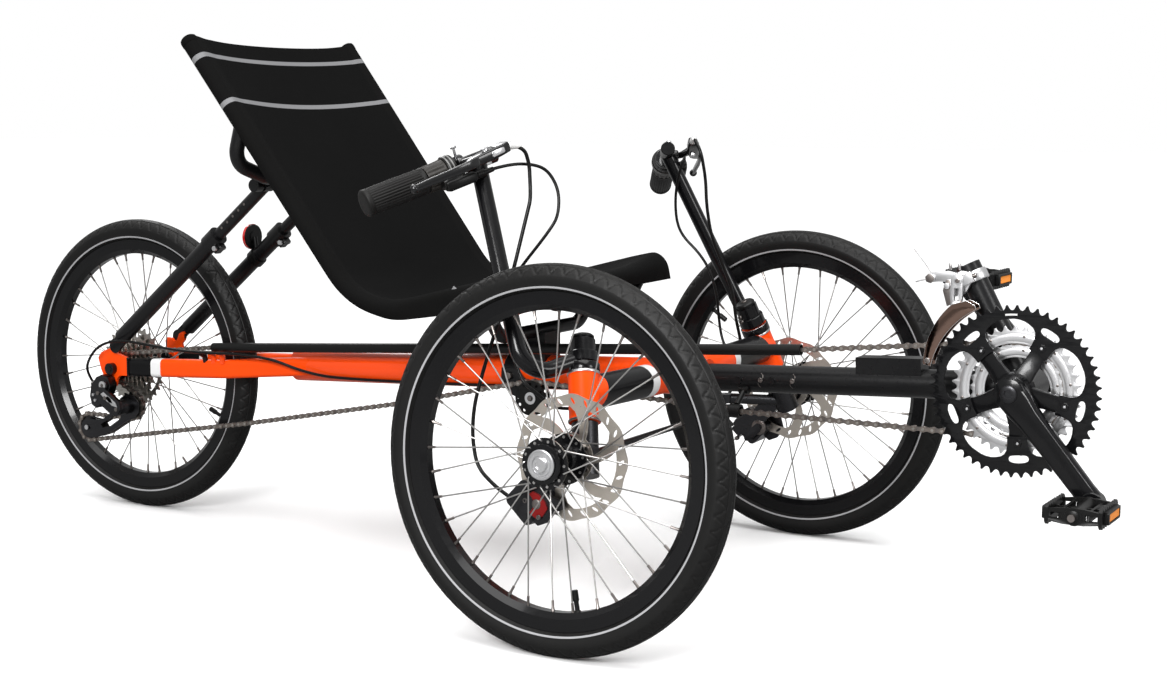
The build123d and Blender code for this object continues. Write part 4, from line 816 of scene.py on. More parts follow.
def toothed_edge(teeth, tip=3.2):
    """The outline of a sprocket: rounded roots and narrow tips."""
    middle, root = pitch_radius(teeth), 3.5
    shape = ((-0.5, -root), (-0.34, -root * 0.8), (-0.2, -0.6), (-0.1, tip * 0.75), (-0.04, tip),
             (0.04, tip), (0.1, tip * 0.75), (0.2, -0.6), (0.34, -root * 0.8))
    return [polar(middle + reach, 360 * (count + share) / teeth) for count in range(teeth) for share,
            reach in shape]


print("outer ring radius", round(pitch_radius(52), 1), "mm")


# %% Chainrings
def five_lobes():
    """The hole of the outer ring, with a tab towards each spider arm."""
    half = [(57, 13), (63, 13), (69, 13.5), (75, 15), (80, 18), (84, 23), (87, 30), (89.3, 37), (90.6, 44),
            (91.2, 51)]
    points = []
    for count in range(5):
        arm = spider_turn(count)
        points += [polar(56.5, arm - turn) for turn in (8, 0)]
        points += [polar(r, arm + math.degrees(side / r)) for r, side in half]
        points += [polar(r, arm + 72 - math.degrees(side / r)) for r, side in reversed(half)]
        points.append(polar(56.5, arm + 72 - 10))
    return points


def oval(reach, turn_by, long_half, wide_half, count=20):
    """A slot that follows the ring's curve, blunt at its ends."""
    points = []
    for k in range(count):
        c, s = math.cos(2 * math.pi * k / count), math.sin(2 * math.pi * k / count)
        blunt = math.copysign(abs(c) ** 0.75, c)
        points.append(polar(reach + wide_half * math.copysign(abs(s) ** 0.75, s),
                            turn_by + math.degrees(long_half / reach) * blunt))
    return points


made = Maker()
outer_place = ring_place(RINGS["outer"][1])
loops = [toothed_edge(52), five_lobes()]
loops += [oval(85, spider_turn(count), 13, 5.0) for count in range(5)]
made.plate(outer_place, loops, -1.2, 1.2)
for count in range(5):
    spot = spot_on(outer_place, 65, spider_turn(count), 1.2)
    head = [(0.1, 0.9), (1.9, 0.9), (2.4, 1.8), (4.6, 1.8), (5.2, 1.2), (5.2, 0), (0.1, 0)]
    made.lathe(spot, head, steps=20)
    made.lathe(spot, [(0.1, 1.0), (1.8, 1.0), (1.8, 0.8), (0.1, 0.8)], steps=6, mark=1)
mark_place = outer_place @ Matrix.Rotation(math.radians(94), 4, "Z")
stroke = arc(97.6, -4.6, 4.6, 9) + arc(95.2, 4.6, -4.6, 9)
made.plate(mark_place, [stroke], 1.2, 1.3, mark=2)
ring = made.build("outer_ring", "crankset", [black_gloss, silver, white_plastic], bevel=0.3,
                  slot="dark_steel")
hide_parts("chainrings")

for name in ("middle", "inner"):
    teeth, y = RINGS[name]
    made = Maker()
    bore = 60 if name == "middle" else 42
    place = ring_place(y)
    made.plate(place, [toothed_edge(teeth), arc(bore, 0, 355, 72)], -1.2, 1.2)
    low_r = bore + 2.5
    high_r = pitch_radius(teeth) - 6.5
    made.lathe(place, [(low_r, 1.1), (high_r, 1.1), (high_r - 1.2, 1.7), (low_r + 1.2, 1.7)], steps=72)
    for count in range(10):
        spot = spot_on(place, high_r - 3, 36 * count + 11, 1.6)
        made.lathe(spot, [(0.1, 0), (1.8, 0), (1.8, 0.7), (0.1, 0.9)], steps=10, mark=1)
    made.build(name + "_ring", "crankset", [silver, dark_steel], bevel=0.3, slot="dark_steel")
print("three rings")


# %% Spider and crank arms
def rounded(width, height, corner, per=4):
    """A rounded rectangle as flat points, in mm."""
    points = []
    for cx, cy, start in ((1, 1, 0), (-1, 1, 90), (-1, -1, 180), (1, -1, 270)):
        for k in range(per):
            x, y = polar(corner, start + 90 * k / (per - 1))
            points.append((cx * (width / 2 - corner) + x, cy * (height / 2 - corner) + y))
    return points


def crank_arm(made, side):
    """One forged arm, from its hub to its pedal eye, with a groove in its outer face."""
    x, z = polar(1, crank_turn(side))
    ahead, out = Vector((x, 0, z)), Vector((0, side, 0))
    across = ahead.cross(out).normalized()
    rings = []
    spans = [(-17, 62, 20, 14), (-12, 63, 34, 18), (0, 64, 42, 20), (18, 66, 40, 19), (36, 69, 34, 17),
             (70, 72, 31, 15), (115, 76, 29, 14), (148, 79, 28, 14), (160, 80, 29, 15), (172, 80, 25, 15),
             (178, 80, 14, 13)]
    for along, offset, wide, thick in spans:
        ring = []
        for x, y in rounded(wide, thick, min(wide, thick) * 0.32, 5):
            groove = 0.0
            if 30 < along < 150 and y > thick * 0.3 and abs(x) < wide * 0.3:
                groove = 3.0
            ring.append(AXLE + (ahead * along + out * (offset + y - groove) + across * x) / 1000)
        rings.append(ring)
    made.loft(rings)
    eye = AXLE + (ahead * CRANK + out * 80) / 1000
    made.rod([eye - out * 0.0095, eye - out * 0.0085, eye + out * 0.0085, eye + out * 0.0095],
             [13, 14, 14, 13], 28)
    made.rod([eye + out * 0.009, eye + out * 0.1], 4.5, 16, 1)
    made.rod([eye + out * 0.009, eye + out * 0.0125], 7.5, 6, 1)
    hub = AXLE + out * 0.0735
    made.rod([hub - out * 0.010, hub, hub + out * 0.0009], [19.5, 19.5, 18], 32)
    bolt(made, frame_at(hub + out * 0.0004, ahead, out), 11.0, 3.0, mark=2)


made = Maker()
for side in (-1, 1):
    crank_arm(made, side)
made.rod([AXLE - Vector((0, 0.06, 0)), AXLE + Vector((0, 0.06, 0))], 12.0, 32, 1)
star_place = ring_place(-45.4)
SPIDER_ARM = ((14, 30, 9, 7), (24, 25, 8, 6), (36, 22, 6, 3.5), (50, 21, 4.5, 1), (62, 24, 3, 0),
              (70, 22, 2.4, 0), (74, 16, 2.2, 0))
for count in range(5):
    arm = []
    for along, wide, thick, drop in SPIDER_ARM:
        ring = []
        for x, y in rounded(wide, thick, thick * 0.3, 4):
            local = Matrix.Rotation(math.radians(spider_turn(count)), 4, "Z") @ Vector((along, x, y + drop))
            ring.append(star_place @ (local / 1000))
        arm.append(ring)
    made.loft(arm)
made.lathe(star_place, [(12, -3), (24, -2), (27, 2), (25, 10), (21, 18), (12, 20)])
cranks = made.build("crank_arms", "crankset", [black_gloss, dark_steel, graphite], sharp=40,
                    slot="black_paint")
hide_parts("cranks")
print("crank arms", len(cranks.data.polygons), "faces")

# %% [markdown]
# ### Pedals
# A platform pedal is a barrel on the spindle inside a cage whose edges are cut into teeth, with an amber
# reflector in front and behind. The cage is built from plates, so that the openings are real.

# %% Pedals
PEDAL_OUT = 134.0


def pedal(name, side):
    """One pedal about its own spindle."""
    x, z = polar(CRANK, crank_turn(side))
    centre = AXLE + Vector((x, side * PEDAL_OUT, z)) / 1000
    made = Maker()
    for way in (-1, 1):
        edge = frame_at(centre + Vector((way * 0.0315, 0, 0)), (0, 1, 0), (1, 0, 0))
        top = [(37 - 74 * k / 16, 12.4 if k % 2 else 8.4) for k in range(17)]
        low_edge = [(-37 + 74 * k / 16, -12.4 if k % 2 else -8.4) for k in range(17)]
        hole = [(-27, -3.4), (-27, 3.4), (-9, 3.4), (-9, -3.4)]
        hole_two = [(9, -3.4), (9, 3.4), (27, 3.4), (27, -3.4)]
        made.plate(edge, [low_edge + top, hole, hole_two], -2.2, 2.2)
        made.block(frame_at(centre + Vector((way * 0.0355, 0, 0)), (1, 0, 0), (0, 0, 1)), (3.2, 55, 15))
        front = frame_at(centre + Vector((way * 0.0355, 0, 0)), (0, 1, 0), (way, 0, 0))
        made.plate(front, [rounded(54, 15, 2), rounded(46, 10.4, 1.2)], 1.4, 3.8)
        made.block(front, (46.6, 9.2, 1.6), mark=1, centre=(0, 0, 2.4), taper=0.96)
    for end in (-1, 1):
        flank = frame_at(centre + Vector((0, end * 0.0335, 0)), (1, 0, 0), (0, -1, 0))
        outline = [(-33, -7), (-12, -9.8), (12, -9.8), (33, -7), (33, 7), (12, 9.8), (-12, 9.8), (-33, 7)]
        bore = arc(8, 0, 337.5, 16)
        slots = [[(14, -4), (28, -3.4), (28, 3.4), (14, 4)], [(-28, -3.4), (-14, -4), (-14, 4), (-28, 3.4)]]
        made.plate(flank, [outline, bore, *slots], -2.4, 2.4)
    for k in (-1, 1):
        made.block(frame_at(centre + Vector((k * 0.0165, 0, 0)), (1, 0, 0), (0, 0, 1)), (3.4, 66, 12))
    barrel = frame_at(centre, (1, 0, 0), (0, 1, 0))
    made.lathe(barrel,
               [(4.8, -36.5), (10.5, -36.5), (11.4, -34), (9.0, -28), (8.2, 0), (9.0, 28), (11.4, 34),
                (10.5, 36.5), (4.8, 36.5)], 32)
    made.block(frame_at(centre, (1, 0, 0), (0, 0, 1)), (60, 4, 9))
    out = frame_at(centre + Vector((0, side * 0.0365, 0)), (1, 0, 0), (0, side, 0))
    made.lathe(out, [(0.1, 0), (7.5, 0), (7.5, 1.2), (6, 2.0), (0.1, 2.2)], 24)
    piece = made.build(name, name.replace("_platform", ""), [black_plastic, amber, dark_steel], bevel=0.4,
                       slot="plastic")
    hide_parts(name.replace("_platform", ""))
    return piece


for name, side in SIDES.items():
    made = pedal(name + "_pedal_platform", side)
    print(made.name, len(made.data.polygons), "faces")

# %% [markdown]
# ### Chain
# A chain is a row of real links. First comes its line, seen from the side: straight runs and arcs round
# the toothed wheels, with a slack sag below. Then a link is set down every half inch, inner and outer
# plates in turn. The last fraction of a link is shared out over the whole loop.

# %% The chain's line
SMALL_Y, LARGE_Y = -56.1, -36.0
RING_STOP = {"x": CRANK_AHEAD, "z": CRANK_UP, "r": pitch_radius(30), "way": -1}
IDLER = {"x": -236.0, "z": 257.5, "r": 24.2, "way": 1}
TENSION = {"x": -1105.0, "z": 137.0, "r": pitch_radius(11), "way": -1}
GUIDE = {"x": -1009.0, "z": 181.0, "r": pitch_radius(11), "way": 1}
COG = {"x": -WHEELBASE, "z": TYRE_R, "r": pitch_radius(11), "way": -1}
SPOTS = {"keeper": (85.0, 266.0), "sag_front": (-470.0, 229.5), "sag_rear": (-760.0, 173.5),
         "tube_rear": (-832.0, 290.0), "tube_front": (179.0, 356.0)}


def chain_y(ahead):
    """From the small cog to the inner ring in a straight line, seen from above."""
    return SMALL_Y + (LARGE_Y - SMALL_Y) * (ahead + WHEELBASE) / (WHEELBASE + CRANK_AHEAD)


def leaves(first, second):
    """The points where a run leaves the first stop and meets the second."""
    across, rise = second["x"] - first["x"], second["z"] - first["z"]
    first_r = first.get("r", 0.0) * first.get("way", 1)
    second_r = second.get("r", 0.0) * second.get("way", 1)
    lean = math.atan2(rise, across) - math.asin((second_r - first_r) / math.hypot(across, rise))
    out = (math.sin(lean), -math.cos(lean))
    return tuple((stop["x"] + r * out[0], stop["z"] + r * out[1]) for stop,
                 r in ((first, first_r), (second, second_r)))


free = {name: {"x": x, "z": z} for name, (x, z) in SPOTS.items()}
stops = [RING_STOP, free["keeper"], IDLER, free["sag_front"], free["sag_rear"], TENSION, GUIDE, COG,
         free["tube_rear"], free["tube_front"]]
line = []
for index, stop in enumerate(stops):
    before = stops[index - 1]
    after = stops[(index + 1) % len(stops)]
    arrive = leaves(before, stop)[1]
    depart = leaves(stop, after)[0]
    if not stop.get("r"):
        line.append(arrive)
        continue
    start = math.atan2(arrive[1] - stop["z"], arrive[0] - stop["x"])
    end = math.atan2(depart[1] - stop["z"], depart[0] - stop["x"])
    sweep = (end - start) * stop["way"] % (2 * math.pi)
    count = max(2, int(sweep * stop["r"] / 2.5))
    for k in range(count + 1):
        angle = start + stop["way"] * sweep * k / count
        line.append((stop["x"] + stop["r"] * math.cos(angle), stop["z"] + stop["r"] * math.sin(angle)))
line.append(line[0])
lengths = [math.dist(p, q) for p, q in zip(line, line[1:])]
total = sum(lengths)
links = 2 * round(total / PITCH / 2)
print("chain", round(total), "mm,", links, "links")


def on_line(distance):
    """A side-view point at a distance along the loop."""
    distance %= total
    for (p, q), length in zip(zip(line, line[1:]), lengths):
        if distance <= length:
            share = distance / length if length else 0.0
            return (p[0] + (q[0] - p[0]) * share, p[1] + (q[1] - p[1]) * share)
        distance -= length
    return line[-1]


pins = [on_line(total * k / links) for k in range(links)]


# %% Links
def link_outline(length):
    """The waisted side plate of a link, in mm."""
    half = length / 2
    right = [polar(4.1, a) for a in (-75, -45, -15, 15, 45, 75)]
    left = [(-x, y) for x, y in reversed(right)]
    return [*((half + x, y) for x, y in right), (0, 2.1), *((x - half, y) for x, y in left), (0, -2.1)]


made = Maker()
for k, (x, z) in enumerate(pins):
    nx, nz = pins[(k + 1) % links]
    first, second = at(x, chain_y(x), z), at(nx, chain_y(nx), nz)
    ahead = second - first
    place = frame_at((first + second) / 2, ahead, (0, -1, 0))
    outer = k % 2 == 0
    outline = link_outline(ahead.length * 1000)
    for way in (-1, 1):
        near = 2.55 if outer else 1.5
        low_z, high_z = sorted((way * near, way * (near + 0.9)))
        made.plate(place, [outline], low_z, high_z, mark=0 if outer else 1)
    if outer:
        for spot in (first, second):
            made.rod([spot - Vector((0, 0.0037, 0)), spot + Vector((0, 0.0037, 0))], 2.0, 8, mark=2)
    else:
        for spot in (first, second):
            made.rod([spot - Vector((0, 0.0014, 0)), spot + Vector((0, 0.0014, 0))], 3.6, 10, mark=1)
chain = made.build("chain_links", "frame", [chain_steel, dark_steel, cog_steel], sharp=30, slot="dark_steel")
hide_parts("chain")
print("links:", links, "faces:", len(chain.data.polygons))

# %% Cassette
COGS = [11, 12, 14, 16, 18, 21, 26, 32]
made = Maker()
place = WHEELS["rear"]
for count, teeth in enumerate(COGS):
    top = 57.0 - 4.8 * count
    loops = [toothed_edge(teeth, tip=3.0)]
    if teeth > 20:
        for k in range(6):
            turn_by = 60 * k + 17 * count
            reach = pitch_radius(teeth) - 9
            loops.append(arc(reach, turn_by + 12, turn_by + 42, 5) + arc(24.5, turn_by + 46, turn_by + 8, 5))
    loops.append(arc(18.2, 0, 345, 24))
    made.plate(place, loops, top - 1.8, top)
made.lathe(place, [(17.3, 22), (18.3, 22), (18.3, 57.4), (20.5, 57.6), (20.5, 59), (17.3, 59)], 32, mark=1)
cassette = made.build("cog_stack", "rear_wheel", [cog_steel, graphite], sharp=30, slot="dark_steel")
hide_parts("cassette")
print("cogs:", COGS)

# %% [markdown]
# ### Derailleurs
# A front derailleur is a bent cage that straddles the chain, hung from a band on the post by four short
# links. The rear one is a body on the frame's hanger, a parallelogram, and a long cage with two toothed
# pulleys. Both are built from plates and turned parts, so the chain really passes between their walls.

# %% Front derailleur
POST_FOOT, POST_TOP = at(458, 0, 347.5), at(389, 0, 476)
CAGE_Y = chain_y(380)


def on_cage(radius, turn_by):
    """A side-view point round the crank's axis."""
    x, z = polar(radius, turn_by)
    return (CRANK_AHEAD + x, CRANK_UP + z)


def side_plate(made, outline, y_low, y_high, mark=0, holes=()):
    """A plate whose outline is drawn in side view: ahead and up. y goes left."""
    place = frame_at(at(0, 0, 0), (1, 0, 0), (0, -1, 0))
    made.plate(place, [outline, *holes], -y_high, -y_low, mark)


def y_rod(made, x, z, y_low, y_high, radius, sides=20, mark=0):
    """A bar straight across the trike."""
    made.rod([at(x, y_low, z), at(x, y_high, z)], radius, sides, mark)


def cage_outline():
    """The curved cage: a wide nose over the rings and a narrow tail."""
    inner = [on_cage(112.5, 118 + 50 * k / 12) for k in range(13)]
    outer = []
    for k in range(13):
        share = k / 12
        outer.append(on_cage(134 - 11 * share ** 1.5, 129 + 39 * share))
    return inner + list(reversed(outer)) + [on_cage(128, 121), on_cage(118, 117.5)]


made = Maker()
slit = [on_cage(119.5, 134), on_cage(126.5, 134), on_cage(125.5, 144), on_cage(119, 144)]
side_plate(made, cage_outline(), CAGE_Y - 10.6, CAGE_Y - 9.0, mark=1)
side_plate(made, cage_outline(), CAGE_Y + 6.5, CAGE_Y + 8.1, mark=1, holes=[slit])
top_edge = [on_cage(133 - 4 * k / 6, 129 + 16 * k / 6) for k in range(7)]
under_edge = [on_cage(131.4 - 4 * k / 6, 129 + 16 * k / 6) for k in range(7)]
side_plate(made, top_edge + list(reversed(under_edge)), CAGE_Y - 10, CAGE_Y + 7.5, mark=1)
tail_x, tail_z = on_cage(118, 165)
y_rod(made, tail_x, tail_z, CAGE_Y - 11.6, CAGE_Y + 9, 2.2)
y_rod(made, tail_x, tail_z, CAGE_Y - 12.6, CAGE_Y - 10.6, 3.6, mark=2)
post_along = (POST_TOP - POST_FOOT).normalized()
band_mid = POST_TOP - post_along * 0.018
band = frame_at(band_mid, (0, 1, 0), post_along)
made.lathe(band, [(15.95, -7), (18.2, -7), (18.9, -6), (18.9, 6), (18.2, 7), (15.95, 7)], 48)
made.block(band, (14, 15, 13), centre=(-22, 0, 0))
made.block(band, (3, 16, 14), centre=(-27, 0, 0), mark=2)
made.rod([band @ Vector((-0.022, -0.012, 0)), band @ Vector((-0.022, 0.013, 0))], 3.0, 12, 2)
block = [(366, 440), (368, 452), (376, 463), (388, 470), (398, 468), (402, 457), (396, 444), (386, 437),
         (374, 436)]
side_plate(made, block, -22, -9)
front_arm = [(379, 421), (377, 445), (380, 463), (386, 466), (393, 463), (394, 440), (392, 423), (386, 419)]
side_plate(made, front_arm, -32.5, -27.5, holes=[[(383, 432), (383, 448), (389, 448), (389, 432)]])
back_arm = [(372, 424), (366, 444), (370, 458), (376, 458), (377, 444), (381, 428)]
side_plate(made, back_arm, -27, -23.5, mark=2)
for x, z, y_low, y_high, radius in ((388, 458, -35, -15, 5.0), (386, 428, -36, -20, 4.2),
                                    (372, 450, -30, -18, 4.0), (386, 428, -44, -28, 3.2)):
    y_rod(made, x, z, y_low, y_high, radius)
y_rod(made, 388, 458, -36.2, -35, 3.2, mark=2)
pull = [(394, 465), (372, 469), (350, 466), (343, 460), (346, 453), (360, 455), (378, 455)]
side_plate(made, pull, -26.5, -21.5)
y_rod(made, 350, 459, -30, -18, 5.4)
y_rod(made, 350, 459, -31.5, -30, 6.6, sides=6, mark=2)
for k in (-1, 1):
    made.rod([at(378 + k * 6, -15, 470), at(377 + k * 6, -15, 478)], 2.0, 10, 2)
wire = smooth_line([at(350, -24, 464), at(344, -25, 474), at(334, -26, 486), at(325, -27, 497)], 4)
made.rod(wire, 0.6, 6)
made.rod([at(352, -24, 459), at(335, -24.5, 455), at(329, -25, 453)], [1.0, 1.0, 1.0], 6)
derailleur = made.build("front_changer", "frame", [silver, bronze_mirror, dark_steel], bevel=0.5,
                        slot="steel")
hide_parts("front_derailleur")
print("front derailleur", len(derailleur.data.polygons), "faces")

# %% Rear derailleur
WALL = -72.1
made = Maker()
body = [(-1056, 229), (-1044, 234), (-1031, 230), (-1025, 217), (-1030, 203), (-1046, 186), (-1058, 177),
        (-1068, 182), (-1072, 196), (-1068, 216)]
side_plate(made, body, WALL - 17, WALL - 1.5)
y_rod(made, -1038, 217, WALL - 21.5, WALL, 9.2, 32)
y_rod(made, -1038, 217, WALL - 23, WALL - 21.3, 7.2, 28, mark=2)
y_rod(made, -1038, 217, WALL - 23.3, WALL - 22.9, 3.2, 6, mark=1)
outer_link = [(-1052, 205), (-1044, 214), (-1034, 214), (-1016, 203), (-1000, 193), (-996, 182),
              (-1004, 172), (-1018, 170), (-1038, 183)]
side_plate(made, outer_link, WALL - 24.5, WALL - 18)
for shift in (0, 10):
    mark_line = [(-1040 + shift, 203 - shift * 0.55), (-1033 + shift, 207 - shift * 0.55),
                 (-1017 + shift, 197 - shift * 0.55), (-1013 + shift, 189 - shift * 0.55),
                 (-1025 + shift, 191 - shift * 0.55)]
    side_plate(made, mark_line, WALL - 25.1, WALL - 24.4, mark=2)
inner_link = [(-1052, 196), (-1040, 204), (-1008, 184), (-1014, 172)]
side_plate(made, inner_link, WALL - 8, WALL - 3, mark=1)
for x, z in ((-1046, 204), (-1030, 197), (-1006, 180)):
    y_rod(made, x, z, WALL - 26, WALL - 3, 3.4, 16, mark=1)
GUIDE_Y = chain_y(GUIDE["x"])
y_rod(made, -1010, 181, WALL - 22, GUIDE_Y - 8.5, 12.5, 36)
made.rod([at(-1064, WALL - 10, 205), at(-1071, WALL - 10, 218.5)], [4.2, 4.2], 18, 1)
for share in (0.3, 0.45, 0.6, 0.75):
    p = at(-1064, WALL - 10, 205).lerp(at(-1071, WALL - 10, 218.5), share)
    q = at(-1064, WALL - 10, 205).lerp(at(-1071, WALL - 10, 218.5), share + 0.08)
    made.rod([p, q], 5.0, 18, 2)
for x, z in ((-1060, 190), (-1064, 199)):
    y_rod(made, x, z, WALL - 18.5, WALL - 16, 2.6, 12, mark=2)
cage = [(-1012, 157), (-1036, 143), (-1060, 129), (-1082, 122), (-1100, 119), (-1113, 122), (-1119, 132),
        (-1117, 145), (-1105, 153), (-1086, 151), (-1068, 155), (-1048, 168), (-1036, 180), (-1028, 193),
        (-1014, 201), (-998, 199), (-987, 188), (-988, 172), (-998, 161)]
window_one = [(-1030, 158), (-1052, 144), (-1070, 139), (-1074, 145), (-1052, 157), (-1036, 169),
              (-1026, 168)]
y_low = GUIDE_Y - 8.6
side_plate(made, cage, y_low, y_low + 2.0, holes=[window_one])
side_plate(made, cage, GUIDE_Y + 6.6, GUIDE_Y + 8.2, mark=1, holes=[window_one])
for stop in (GUIDE, TENSION):
    x, y, z = stop["x"], chain_y(stop["x"]), stop["z"]
    y_rod(made, x, z, y - 7.6, y + 7.6, 3.0, 16, mark=1)
    y_rod(made, x, z, y - 10.2, y - 8.4, 4.6, 6, mark=2)
    place = frame_at(at(x, y, z), (1, 0, 0), (0, -1, 0))
    made.plate(place, [toothed_edge(11, tip=3.0), *hole_ring(9.5, 2.4, 6)], -1.1, 1.1)
    made.lathe(place, [(3.0, -3.4), (6.2, -3.4), (6.2, 3.4), (3.0, 3.4)], 24, mark=1)
rear_changer = made.build("rear_changer", "frame", [graphite, dark_steel, silver], bevel=0.6,
                          slot="dark_steel")
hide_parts("rear_derailleur")
print("rear derailleur", len(rear_changer.data.polygons), "faces")

# %% Chain idler under the backbone
made = Maker()
IDLER_Y = chain_y(IDLER["x"])


def tube_centre(ahead):
    """The backbone's middle, a little higher towards the front."""
    return at(ahead, 0, 301.2 + 0.05 * ahead)


tube_way = (tube_centre(0) - tube_centre(-100)).normalized()
band = frame_at(tube_centre(-284), (0, 1, 0), tube_way)
made.lathe(band, [(25.5, -13), (28.6, -13), (29.4, -12), (29.4, 12), (28.6, 13), (25.5, 13)], 64)
arm = [(-297, 296), (-298, 282), (-294, 268), (-280, 257), (-262, 250), (-246, 246), (-232, 246),
       (-226, 252), (-226, 264), (-238, 270), (-250, 276), (-262, 286), (-271, 296)]
side_plate(made, arm, -33.4, -29.5)
y_rod(made, IDLER["x"], IDLER["z"], -33, IDLER_Y - 9, 4.0, 16, mark=1)
y_rod(made, -283, 285, -38.5, -33, 6.0, 6, mark=1)
bracket = made.build("idler_bracket", "frame", [black_satin, dark_steel], bevel=0.6, slot="black_paint")
made = Maker()
place = frame_at(at(IDLER["x"], IDLER_Y, IDLER["z"]), (1, 0, 0), (0, -1, 0))
made.lathe(place, [(4.1, -6.5), (9, -6.5), (9, -3), (19.5, -3), (19.5, 3), (9, 3), (9, 6.5), (4.1, 6.5)])
flange = [arc(25.6, 0, 354, 60), *hole_ring(20.5, 2.3, 12), arc(9.2, 0, 345, 24)]
for z_low, z_high in ((-6.6, -5.2), (5.2, 6.6)):
    made.plate(place, flange, z_low, z_high)
made.lathe(place, [(9.05, 6.4), (9.05, 7.4), (4.3, 7.4), (4.3, 6.4)], 24, mark=1)
roller = made.build("idler_roller", "frame", [black_plastic, silver], bevel=0.3, slot="plastic")
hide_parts("chain_idler")
print("idler", len(bracket.data.polygons) + len(roller.data.polygons), "faces")

# %% [markdown]
# ## Frame finishes
# The welded parts are good as they are in CAD, so they only change their paint. Sleeves and rings that were
# masked off before spraying are bands in the paint's own colour, found from the distance to the middle.

# %% Dress the CAD parts
def dress(finish, *names):
    """A finish for every material slot of these CAD nodes."""
    for name in names:
        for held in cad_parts[name].material_slots:
            held.material = finish


def banded(name, bands):
    """Glossy orange with other colours in bands: (colour, from, to, axis, lean), in metres."""
    material, shader = blank(name, Coat_Weight=0.3, Coat_Roughness=0.05, Coat_IOR=1.3,
                             Specular_IOR_Level=0.1)
    tree = material.node_tree
    colour = None
    for paint, start, end, axis, lean in bands:
        band = use_group(material, BAND, From=start, To=end, Axis=axis, Lean=lean)
        mix = node(tree, "Mix", {0: band.outputs["Mask"], 6: colour or (*ORANGE, 1), 7: (*paint, 1)},
                   data_type="RGBA")
        colour = mix.outputs[2]
    made = use_group(material, COATED, Roughness=0.32, Dust=0.0, Mottle=0.03, Scale=220, Bump=0.01)
    tree.links.new(colour, made.inputs["Color"])
    return wear(material, made, shader)


BLACK, WHITE = (0.004, 0.004, 0.0045), (0.80, 0.80, 0.80)
ACROSS, ALONG = (0, 1, 0), (1, 0, 0)
arm_paint = banded("arm_paint", [(WHITE, 0.118, 0.136, ACROSS, 0.0), (BLACK, 0.136, 0.378, ACROSS, 0.407)])
stay_from = [abs(AXLE_X + ahead) / 1000 for ahead in (-935, -955, -1004)]
stay_paint = banded("stay_paint", [(WHITE, stay_from[0], stay_from[1], ALONG, 0.0),
                                   (BLACK, stay_from[1], stay_from[2], ALONG, 0.0)])
dress(orange_paint, "main_tube")
dress(arm_paint, "cross_member")
dress(black_satin, "boom", "seat_frame", "seat_mount", "seat_struts", "strut_slides", "accessory_mount",
      "tie_rod")
dress(black_gloss, "rear_axle")
dress(black_plastic, "chain_tube", "chain_keeper", "rear_reflector")
dress(housing, "right_brake_cable", "left_brake_cable")
dress(graphite, "right_knuckle", "left_knuckle", "right_brake_caliper", "left_brake_caliper")
for name in WHEELS:
    dress(black_gloss, name + "_rim", name + "_hub")
print("arm band from", 0.136, "m; stay bands", [round(v, 3) for v in stay_from])

# %% Headset cups, clamp bolts and small fittings
KING_AHEAD, KING_BACK = 67.0, 0.2738          # where the steering axis meets the floor, and how far it
KING_OUT, KING_IN = 400.0, 0.4071             # leans back and in for each mm up


def kingpin(up, side):
    """A point on a steering axis, at a height in mm."""
    return at(KING_AHEAD - KING_BACK * up, side * (KING_OUT - KING_IN * up), up)


for name, side in SIDES.items():
    made = Maker()
    way = kingpin(400, side) - kingpin(300, side)
    for up, r in ((334.8, 21.1), (278.6, 20.9)):
        place = frame_at(kingpin(up, side), (1, 0, 0), way)
        ring = [(19.6, -1.6), (r, -1.6), (r + 0.4, -1.0), (r + 0.4, 1.0), (r, 1.6), (19.6, 1.6)]
        made.lathe(place, ring, 48, mark=0 if up > 300 else 1)
    cup = frame_at(kingpin(336, side), (1, 0, 0), way)
    made.lathe(cup, [(19.6, 0.4), (21.2, 0.4), (21.5, 1), (21.5, 10.6), (21, 11.4), (19.6, 11.4)], mark=2)
    made.build(name + "_headset", "frame", [silver, dark_steel, black_gloss], bevel=0.2, slot="steel")
    made = Maker()
    top = frame_at(kingpin(380, side), (1, 0, 0), way)
    made.lathe(top, [(0.1, 3.2), (8, 3.2), (13, 2.4), (15, 0.4), (15, -2), (0.1, -2)], 36)
    bolt(made, top @ Matrix.Translation((0, 0, 0.0028)), 5.0, 2.0, mark=1)
    inward = Vector((-0.45, -side * 0.88, 0))
    for up in (352, 359):
        spot = frame_at(kingpin(up, side) + inward * 0.0192, way, inward)
        bolt(made, spot, 3.6, 3.0, mark=1)
    made.build(name + "_stem_cap", name + "_knuckle", [black_plastic, dark_steel], bevel=0.2, slot="plastic")

made = Maker()
for ahead in (111, 158):
    centre = tube_centre(ahead)
    spot = frame_at(centre + Vector((0, -0.0188, 0.0005)), tube_way, (0, -1, 0))
    bolt(made, spot, 3.4, 1.8)
    slot_arc = []
    for k in range(15):
        angle = math.radians(150 + 60 * k / 14)
        lean = 0.0035 * math.sin(2 * math.pi * k / 14)
        out = Vector((0, math.cos(angle), math.sin(angle)))
        slot_arc.append(centre + tube_way * lean + out * 0.01905)
    made.rod(slot_arc, 0.45, 6)
made.build("boom_bolts", "frame", [dark_steel], slot="steel")

